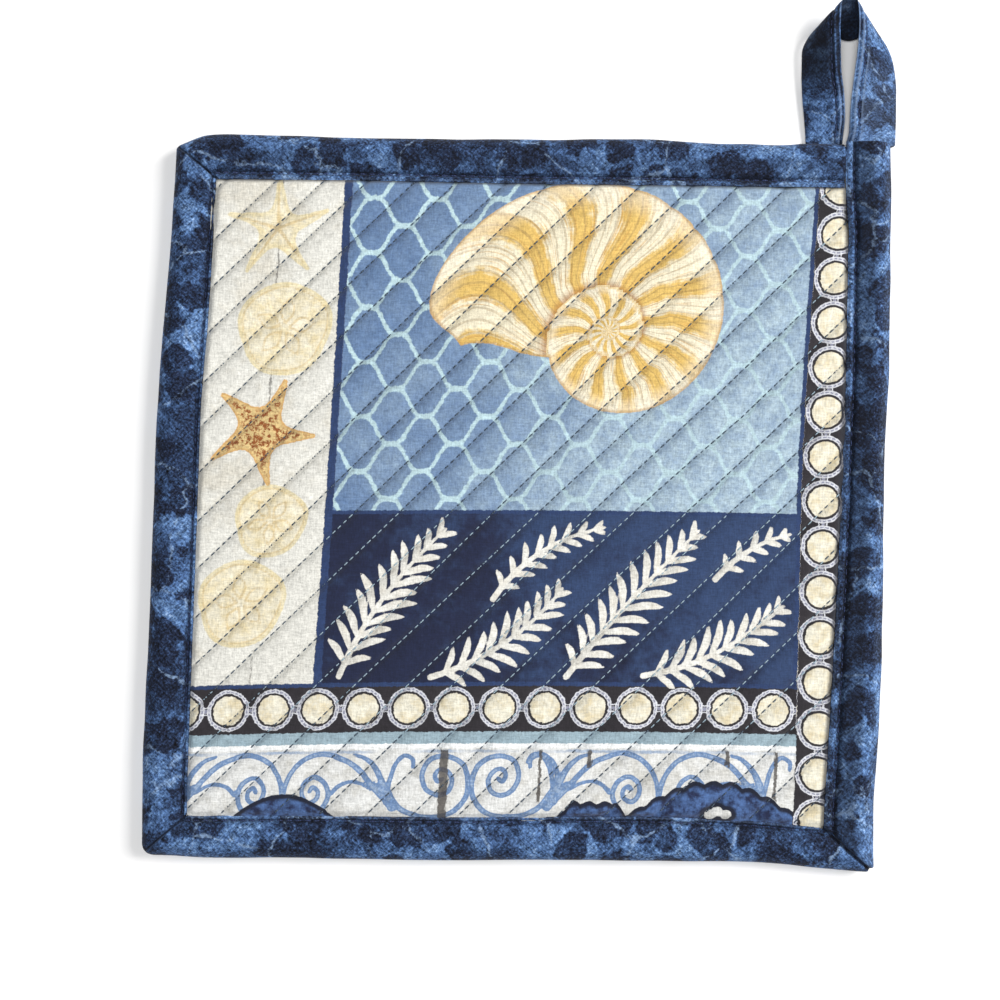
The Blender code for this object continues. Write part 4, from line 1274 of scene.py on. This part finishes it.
def printed_cotton():
    """The front's print, from the ground up: pale ground, lattice, dark block, bands, rings,
    stripes, scrollwork and ornaments, then painted shade along the rows and beside the
    binding's folds, and the cloth's own weave and wear."""
    r = Recipe("printed_cotton")
    mm = r.millimetres()
    u, v, height_y = r.split(r.places("print_place"))
    fuzz = r.noise(mm, 0.9, 2.0, 0.6, "Color")
    fuzz_x, fuzz_y, fuzz_z = r.split(fuzz)
    ragged = fuzz_z - 0.5
    u = u + (fuzz_x - 0.5) * 0.9
    v = v + (fuzz_y - 0.5) * 0.9
    blotch = r.noise(mm, 0.055, 3.0, 0.55)
    mottle = r.noise(mm, 0.28, 3.0, 0.6)
    speck = r.noise(mm, 2.2, 2.0, 0.7)
    fine = r.noise(mm, 0.95, 3.0, 0.7)

    # pale ground
    colour = r.mix(r.rise(blotch + mottle * 0.5, 0.72, 1.0) * 0.8, CREAM, CREAM_SHADE)

    # lattice
    lighter = r.rise(u * 0.55 - v * 0.28 + (blotch - 0.5) * 90.0, -62.0, 24.0)
    cell = r.mix(lighter, CELL_DEEP, CELL_PALE)
    cell = r.mix(r.rise(mottle, 0.30, 0.75) * 0.55, cell, dye(124, 150, 184))
    cell = r.mix(r.rise(fine, 0.35, 0.75) * 0.35, cell, dye(74, 100, 146))
    line = r.rise(scale_lines(r, u, v) + ragged * 0.7 + (mottle - 0.5) * 0.5, 0.74, 0.30)
    lattice = r.mix(line * (0.97 - lighter * 0.3), cell, PALE_BLUE)
    right = r.rise(u, -52.05, -51.75)
    upper = r.rise(v, 53.9, 54.2)
    colour = r.mix(right * upper, colour, lattice)

    # dark block, with a blue edge
    block = r.mix(r.rise(blotch * 0.9 + mottle * 0.6 + u * 0.003 + v * 0.004, 0.72, 1.1),
                  BLOCK_DEEP, BLOCK_PALE)
    inner = r.rise(u, -54.1, -53.8) * r.rise(v, 54.3, 54.0)
    colour = r.mix(inner, colour, block)
    edges = r.most(r.between(u, -54.0, -51.8, 0.15),
                   r.between(v, 53.6, 54.7, 0.15) * r.rise(u, -54.0, -53.7),
                   r.between(u, 76.9, 78.4, 0.15), r.rise(v, 7.3, 7.0))
    colour = r.mix(edges, colour, r.mix(mottle, DIVIDER, BLOCK_PALE))

    # foot of the print
    below = r.rise(v, -9.55, -9.75)
    foot = r.mix(r.rise(mottle * 0.6 + blotch * 0.5, 0.48, 0.72), PLANK, PLANK_SHADE)
    foot = r.mix(r.rise(v, -11.2, -10.9), foot, WHITE)
    foot = r.mix(r.between(v, -12.3, -11.5, 0.2) * r.rise(blotch, 0.35, 0.6) * 0.8, foot,
                 dye(142, 166, 198))
    scroll = r.value("scroll_gap") + ragged * 0.35
    core = r.rise(scroll, -0.22, -0.5) * r.rise(fine + (mottle - 0.5) * 0.5, 0.40, 0.62)
    foot = r.mix(r.rise(scroll, 0.12, -0.12), foot, r.mix(core * 0.7, SCROLL_BLUE, SCROLL_LIGHT))
    mound = r.value("mound_gap") + ragged * 0.5
    mound_colour = r.mix(r.rise(mottle + fine * 0.4, 0.52, 0.86), dye(28, 38, 72),
                         dye(80, 112, 166))
    mound_colour = r.mix(r.rise(mound, -1.9, -0.9), mound_colour, dye(24, 30, 50))
    foot = r.mix(r.rise(mound, 0.12, -0.12), foot, mound_colour)
    colour = r.mix(below, colour, foot)
    grey = r.mix(mottle, STRIPE, dye(166, 188, 197))
    colour = r.mix(r.between(v, -9.75, -6.4, 0.12), colour, grey)

    # black bands and their rings
    upright = r.rise(u, TALL_BAND - 0.1, TALL_BAND + 0.2)
    band = r.most(r.between(v, -6.5, 6.05, 0.12), upright)
    band_colour = r.mix(mottle, BAND, dye(52, 48, 54))
    colour = r.mix(band, colour, band_colour)
    flat_along = r.wrap(u - FLAT_FIRST, FLAT_STEP)
    tall_along = r.wrap(height_y - TALL_FIRST, TALL_STEP) * 0.96
    along = flat_along + (tall_along - flat_along) * upright
    tall_across = (u - TALL_MIDDLE) * 0.96
    across = v + (tall_across - v) * upright
    chain, chain_mask, disc = ring_chain(r, along, across, ragged)
    colour = r.mix(chain_mask * band, colour, chain)
    stud = r.mix(r.rise(mottle * 0.7 + speck * 0.3, 0.40, 0.66) * 0.7, dye(240, 236, 218),
                 dye(212, 194, 150))
    colour = r.mix(disc * band, colour, stud)

    # dark joints between boards in the foot, as thin broken lines
    u_grain = r.noise(r.join(u * 2.0, v * 0.35, 0.0), 1.0, 2.0, 0.7)
    marks = [r.rise(abs(u - place) + (u_grain - 0.5) * 1.3, wide + 0.15, wide - 0.15)
             * r.rise(v + ragged * 1.5, low - 0.3, low + 0.3) for place, wide, low in FOOT_JOINTS]
    joints = r.most(*marks) * r.rise(v + ragged, -11.2, -11.8) * r.rise(mound, 0.0, 0.3)
    colour = r.mix(joints * 0.9, colour, r.mix(fine, INK, dye(104, 98, 92)))
    # a hair-thin joint between boards in the pale column
    joint = r.rise(abs(u + 71.5 + (u_grain - 0.5) * 1.6), 0.32, 0.12) * r.rise(v, 6.5, 8.0)
    joint = joint * r.rise(blotch + (fine - 0.5) * 0.5, 0.36, 0.52)
    colour = r.mix(joint * 0.75, colour, dye(110, 106, 102))

    # white fronds
    frond = r.value("frond_gap") + ragged * 0.4
    colour = r.mix(r.rise(frond, 0.14, -0.14), colour,
                   r.mix(r.rise(mottle, 0.3, 0.8) * 0.8, dye(240, 239, 232), dye(216, 210, 196)))

    # ornaments of the pale column
    pale = r.value("pale_gap") + ragged * 0.5
    pale_colour = r.mix(r.rise(mottle * 0.8 + speck * 0.2, 0.35, 0.7), dye(241, 234, 210), SAND)
    pale_colour = r.mix(r.rise(pale, -1.8, -0.1) * 0.5, pale_colour, dye(224, 206, 148))
    drawn = r.value("drawn_gap") + ragged * 0.3
    pale_colour = r.mix(r.rise(drawn, 0.25, -0.2) * 0.6, pale_colour, dye(208, 178, 112))
    colour = r.mix(r.rise(pale, 0.3, -0.2) * 0.9, colour, pale_colour)
    brown = r.value("brown_gap") + ragged * 0.6
    rusty = r.rise(r.noise(mm, 0.75, 3.0, 0.75), 0.44, 0.58)
    brown_colour = r.mix(rusty * r.rise(brown, 0.0, -1.6), dye(228, 200, 140), RUST)
    brown_colour = r.mix(r.rise(brown, -0.8, 0.0) * 0.7, brown_colour, dye(206, 150, 82))
    colour = r.mix(r.rise(brown, 0.15, -0.15), colour, brown_colour)

    # the coiled shape
    gap, turns, whorl = (r.value(name) for name in ("coil_gap", "coil_turns", "coil_whorl"))
    sweep = turns + r.maths("SINE", whorl * math.pi) * 0.018
    bands = r.maths("SINE", sweep * (2 * math.pi * COIL_BANDS) + (mottle - 0.5) * 2.4)
    streak = r.noise(r.join(sweep * 260.0, whorl * 2.4, turns * 6.0), 1.0, 2.0, 0.6)
    coil_colour = r.mix(r.rise(bands + (streak - 0.5) * 1.6, -0.5, 0.6), STRAW, GOLD)
    coil_colour = r.mix(r.rise(streak, 0.52, 0.70) * 0.55, coil_colour, dye(206, 156, 80))
    ribs = r.maths("SINE", sweep * (2 * math.pi * COIL_RIBS) + (mottle - 0.5) * 2.0)
    ribs = r.rise(ribs, 0.62, 0.95)
    coil_colour = r.mix(ribs * 0.38, coil_colour, dye(150, 124, 84))
    coil_colour = r.mix(r.rise(whorl, 0.16, 0.0) * 0.75, coil_colour, BROWN)
    coil_colour = r.mix(r.rise(whorl, 0.80, 0.97) * 0.45, coil_colour, dye(250, 243, 224))
    coil_colour = r.mix(r.rise(gap, -1.1, -0.1) * 0.6, coil_colour, dye(176, 132, 70))
    colour = r.mix(r.rise(gap + ragged * 0.5, 0.15, -0.15), colour, coil_colour)

    # dark needle holes and painted shade in the groove along each sewn row,
    # then painted shadow beside the binding's fold at the right and the top
    seam = abs(r.wrap(r.value("row_place"), 1.0)) * ROW_PITCH
    sewn = r.rise(seam + (speck - 0.5) * 0.35, 0.50, 0.10)
    colour = r.mix(sewn * 0.24, colour, dye(28, 34, 46))
    shaded = r.rise(r.value("fold_shade") + (fine - 0.5) * 0.6, 2.0, 0.6)
    colour = r.mix(shaded * 0.82, colour, dye(22, 26, 38))

    # weave, worn thread tops and dust
    threads = weave(r, mm, 0.46)
    colour = r.shaded(colour, (threads - 0.5) * 1.1 + (speck - 0.5) * 0.7 + 1.0)
    worn = r.rise(speck * 0.6 + threads * 0.4, 0.66, 0.80) * 0.22
    colour = r.mix(worn, colour, dye(225, 228, 230))

    rough = 0.86 + (speck - 0.5) * 0.12
    return r.finish(colour, rough, threads + (mottle - 0.5) * 2.2, 0.00012)


def batik():
    """Marbled navy cloth: near-black rounds in speckled blue that brightens between them, in
    places, with a few thin pale veins; folds are worn paler, lit parts get painted light, and
    grooves, mitre creases and shaded parts get painted shade."""
    r = Recipe("navy_batik")
    place = r.places("strip_place")
    swirl = r.noise(place, 0.085, 3.0, 0.6, "Color")
    moved = r.vector("ADD", place, r.vector("SCALE", swirl, 9.0))
    cloud = r.noise(place, 0.045, 2.0, 0.5)
    mottle = r.noise(moved, 0.30, 3.0, 0.6)
    fine = r.noise(place, 1.5, 4.0, 0.8)
    rounds = r.cells(moved, 0.105)
    rim = r.rise(rounds + (mottle - 0.5) * 0.3, 0.42, 0.53)
    lively = r.rise(cloud + (mottle - 0.5) * 0.3, 0.34, 0.62)
    tone = 0.14 + rim * (lively * 0.28 + 0.13) + (mottle - 0.4) * (lively * 0.45 + 0.25)
    tone = tone + lively * 0.08 + (fine - 0.5) * 1.3
    colour = r.ramp(tone, (
        (0.00, dye(14, 17, 26)), (0.24, dye(32, 42, 66)), (0.44, dye(54, 77, 114)),
        (0.64, dye(76, 106, 152)), (0.84, dye(102, 136, 182)), (1.00, dye(154, 178, 212))))
    veins = r.cells(moved, 0.043, "DISTANCE_TO_EDGE")
    thin = r.rise(veins, 0.020, 0.008) * r.rise(mottle + fine * 0.4, 0.60, 0.78)
    colour = r.mix(thin * 0.55, colour, dye(140, 166, 200))
    threads = weave(r, place, 0.55, math.radians(45))
    colour = r.shaded(colour, (threads - 0.5) * 3.8 + (fine - 0.5) * 2.6 + 1.0)
    specks = r.rise(fine * 0.5 + threads * 0.5, 0.57, 0.72) * 0.34
    colour = r.mix(specks, colour, dye(110, 134, 176))
    tint = r.value("tint")
    # tint above 0: wear and painted light, paler; below 0: painted shade, darker
    colour = r.mix(r.rise(tint + (fine - 0.5) * 0.9, 0.1, 1.1) * 0.55, colour, dye(132, 154, 188))
    colour = r.mix(r.rise(tint, 0.0, -1.2) * 0.85, colour, dye(16, 18, 26))
    # painted shade along each mitre's crease
    crease = r.rise(abs(r.value("crease_gap") + 0.15), 0.55, 0.12)
    colour = r.mix(crease * 0.8, colour, dye(14, 16, 26))
    rough = 0.80 + (fine - 0.5) * 0.12
    return r.finish(colour, rough, threads + fine * 0.4, 0.00014, 0.05, 0.12)


def backing():
    """Plain navy back cloth, a little lighter in random clouds."""
    r = Recipe("backing_cotton")
    mm = r.millimetres()
    threads = weave(r, mm, 0.38)
    cloud = r.noise(mm, 0.05, 3.0, 0.55)
    fine = r.noise(mm, 1.3, 3.0, 0.7)
    colour = r.rise(cloud * 0.6 + fine * 0.4, 0.38, 0.66)
    colour = r.mix(colour, dye(26, 34, 66), dye(44, 58, 100))
    colour = r.shaded(colour, (threads - 0.5) * 0.9 + 1.0)
    return r.finish(colour, 0.86 + (fine - 0.5) * 0.1, threads + fine * 0.4, 0.00014, 0.2)


def thread(name, deep, pale, over_dark=None):
    """Twisted sewing thread: plies seen as slanting painted light and shade, in a colour that
    turns to a paler copy with painted light where the piece says it runs over dark cloth."""
    r = Recipe(name)
    mm = r.millimetres()
    x, y, z = r.split(mm)
    twist = r.maths("SINE", (x * 9.0 + y * 5.0) + z * 6.0)
    tint = r.noise(mm, 0.5, 2.0, 0.6)
    colour = r.mix(r.rise(twist * 0.25 + tint, 0.25, 0.75), deep, pale)
    if over_dark:
        colour = r.mix(r.value("over_dark"), colour, over_dark)
    return r.finish(colour, 0.7 + (tint - 0.5) * 0.2, twist, 0.00003, 0.1)


# ---- making the pieces --------------------------------------------------------------------
def fold_shade(x, y):
    """Distance in from the binding's fold at the right, or a little more than the one at the
    top: the light comes from the right, so the fold shades the cloth beside it there."""
    return np.minimum(smooth_table(RIGHT, y)[1] - x, smooth_table(TOP, x)[1] - y + 0.6)


MAP_HALF = 104.0                        # half the width of the baked picture, mm


def set_bake_map(piece, x, y):
    """A flat map of the front for its baked picture: the shaped face fills all but a strip at
    the foot, where the wall and the hidden face lie in two thin rows."""
    mesh, points = piece.data, len(x)
    corner_point = np.empty(len(mesh.loops), np.int32)
    first, total = (np.empty(len(mesh.polygons), np.int32) for _ in range(2))
    mesh.loops.foreach_get("vertex_index", corner_point)
    mesh.polygons.foreach_get("loop_start", first)
    mesh.polygons.foreach_get("loop_total", total)
    face = np.repeat(np.arange(len(first)), total)
    shaped = corner_point < points
    on_face = np.minimum.reduceat(shaped.astype(int), first)[face] == 1
    wide = (x + MAP_HALF) / (2 * MAP_HALF)
    tall = 0.03 + 0.965 * (y + MAP_HALF) / (2 * MAP_HALF)
    ring = len(mesh.vertices) - points - 1
    inner = np.isin(face, np.arange(len(first) - ring, len(first)))
    known = np.minimum(corner_point, points - 1)
    along = np.where(shaped, wide[known], np.clip(corner_point - points, 0, ring) / ring)
    fan = np.where(corner_point == points + ring, 0.001, 0.012)
    up = np.where(on_face, tall[known], np.where(inner, fan, np.where(shaped, 0.026, 0.015)))
    layer = mesh.uv_layers.new(name="OFBake")
    layer.data.foreach_set("uv", np.column_stack([along, up]).astype(np.float32).ravel())


def dress_front(piece, x, y):
    """The print's own place and the drawn shapes' distances, stored on the front's points;
    those of the wall and the hidden face lie far from every shape."""
    u, v = print_place(x, y)
    rest = len(piece.data.vertices) - len(x)
    place = np.stack([u, v, y], -1)
    set_places(piece, "print_place", np.concatenate([place, np.zeros((rest, 3))]))
    brown, pale, drawn = ornament_fields(u, v)
    gap, turns, whorl = spiral_fields(u, v)
    for name, values in (("scroll_gap", scroll_gap(u, v)), ("mound_gap", mound_gap(u, v)),
                         ("frond_gap", frond_gap(u, v)), ("brown_gap", brown),
                         ("pale_gap", pale), ("drawn_gap", drawn), ("coil_gap", gap),
                         ("coil_turns", turns), ("coil_whorl", whorl),
                         ("row_place", row_place(x, y)), ("fold_shade", fold_shade(x, y))):
        set_values(piece, name, np.concatenate([values, np.full(rest, 50.0)]))
    set_bake_map(piece, x, y)


front, front_x, front_y = half_pad("printed_front", front_height, 286, 5, True)
back, *_ = half_pad("plain_back", back_height, 190, 4, False)
binding = build_binding()
strap = build_loop()
dress_front(front, front_x, front_y)
front_quilting = quilting("front_quilting", front_height, 1.0, 1.55, 101)
back_quilting = quilting("back_quilting", back_height, -1.0, 1.4, 102)
top_stitching = binding_stitches("top_stitching", True)
under_stitching = binding_stitches("under_stitching", False)
loop_stitching = loop_stitches("loop_stitching")

# ---- camera, light and floor --------------------------------------------------------------
CAMERA_PLACE = (-0.2, -19.5, 423.7)
CAMERA_TURN = tuple(math.radians(a) for a in (-2.59, -0.73, -1.59))


def add_camera():
    """The camera at the photograph's place, looking almost straight down."""
    rx, ry, rz = (Matrix.Rotation(angle, 3, axis) for angle, axis in zip(CAMERA_TURN, "XYZ"))
    lens = bpy.data.cameras.new("camera")
    lens.lens = 54.0
    lens.sensor_width = 36.0
    lens.clip_start = 0.01
    camera = add_object("camera", lens)
    turn = (rz @ ry @ rx).transposed().to_4x4()
    camera.matrix_world = Matrix.Translation(to_metres(CAMERA_PLACE)) @ turn
    bpy.context.scene.camera = camera


def add_light(name, place, size, power, colour):
    """A soft square light that faces the middle of the piece; place is in metres."""
    lamp = bpy.data.lights.new(name, "AREA")
    lamp.energy, lamp.size, lamp.color = power, size, colour
    aim = (-Vector(place)).to_track_quat("-Z", "Y").to_matrix().to_4x4()
    add_object(name, lamp).matrix_world = Matrix.Translation(place) @ aim


FLOOR_HALF, FLOOR_DROP = 3.0, 0.0002    # metres; it lies a hair below the piece


def add_floor():
    """A plain pale table top."""
    mesh = bpy.data.meshes.new("floor")
    mesh.from_pydata([(x * FLOOR_HALF, y * FLOOR_HALF, -FLOOR_DROP)
                      for x, y in ((-1, -1), (1, -1), (1, 1), (-1, 1))], [], [(0, 1, 2, 3)])
    material = bpy.data.materials.new("pale_table")
    material.use_nodes = True
    shader = material.node_tree.nodes["Principled BSDF"]
    shader.inputs["Base Color"].default_value = (0.93, 0.93, 0.93, 1)
    shader.inputs["Roughness"].default_value = 0.9
    mesh.materials.append(material)
    add_object("floor", mesh)


add_camera()
add_floor()
add_light("key", (0.95, 0.34, 0.74), 0.6, 18.5, (1.0, 0.985, 0.965))
add_light("overhead", (-0.12, -0.10, 1.10), 0.5, 7.4, (0.985, 0.99, 1.0))
world = bpy.data.worlds.new("studio")
world.use_nodes = True
background = world.node_tree.nodes["Background"]
background.inputs["Color"].default_value = (1, 1, 1, 1)
background.inputs["Strength"].default_value = 0.20
bpy.context.scene.world = world
bpy.context.scene.view_settings.view_transform = "Standard"

# ---- what each piece is made of, replaces and rests on ------------------------------------
# slate thread: darker, with painted shade from its grooves on the pale print, and a paler copy
# with painted light over dark cloth
slate_thread = thread("slate_thread", dye(46, 58, 74), dye(88, 104, 120),
                      dye(140, 160, 172, 1.0))
navy_thread = thread("navy_thread", dye(30, 40, 74), dye(58, 74, 120))
navy_batik = batik()
for piece, material, slot in (
        (front, printed_cotton(), "printed_cotton"), (back, backing(), "backing_cotton"),
        (binding, navy_batik, "navy_cotton"), (strap, navy_batik, "navy_cotton"),
        (front_quilting, slate_thread, "sewing_thread"),
        (back_quilting, navy_thread, "sewing_thread"),
        (top_stitching, navy_thread, "sewing_thread"),
        (under_stitching, navy_thread, "sewing_thread"),
        (loop_stitching, navy_thread, "sewing_thread")):
    piece.data.materials.append(material)
    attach(piece, "root")
for piece, node in ((front, "quilted_pad"), (back, "quilted_pad"), (binding, "binding"),
                    (strap, "hanging_loop")):
    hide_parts(node)
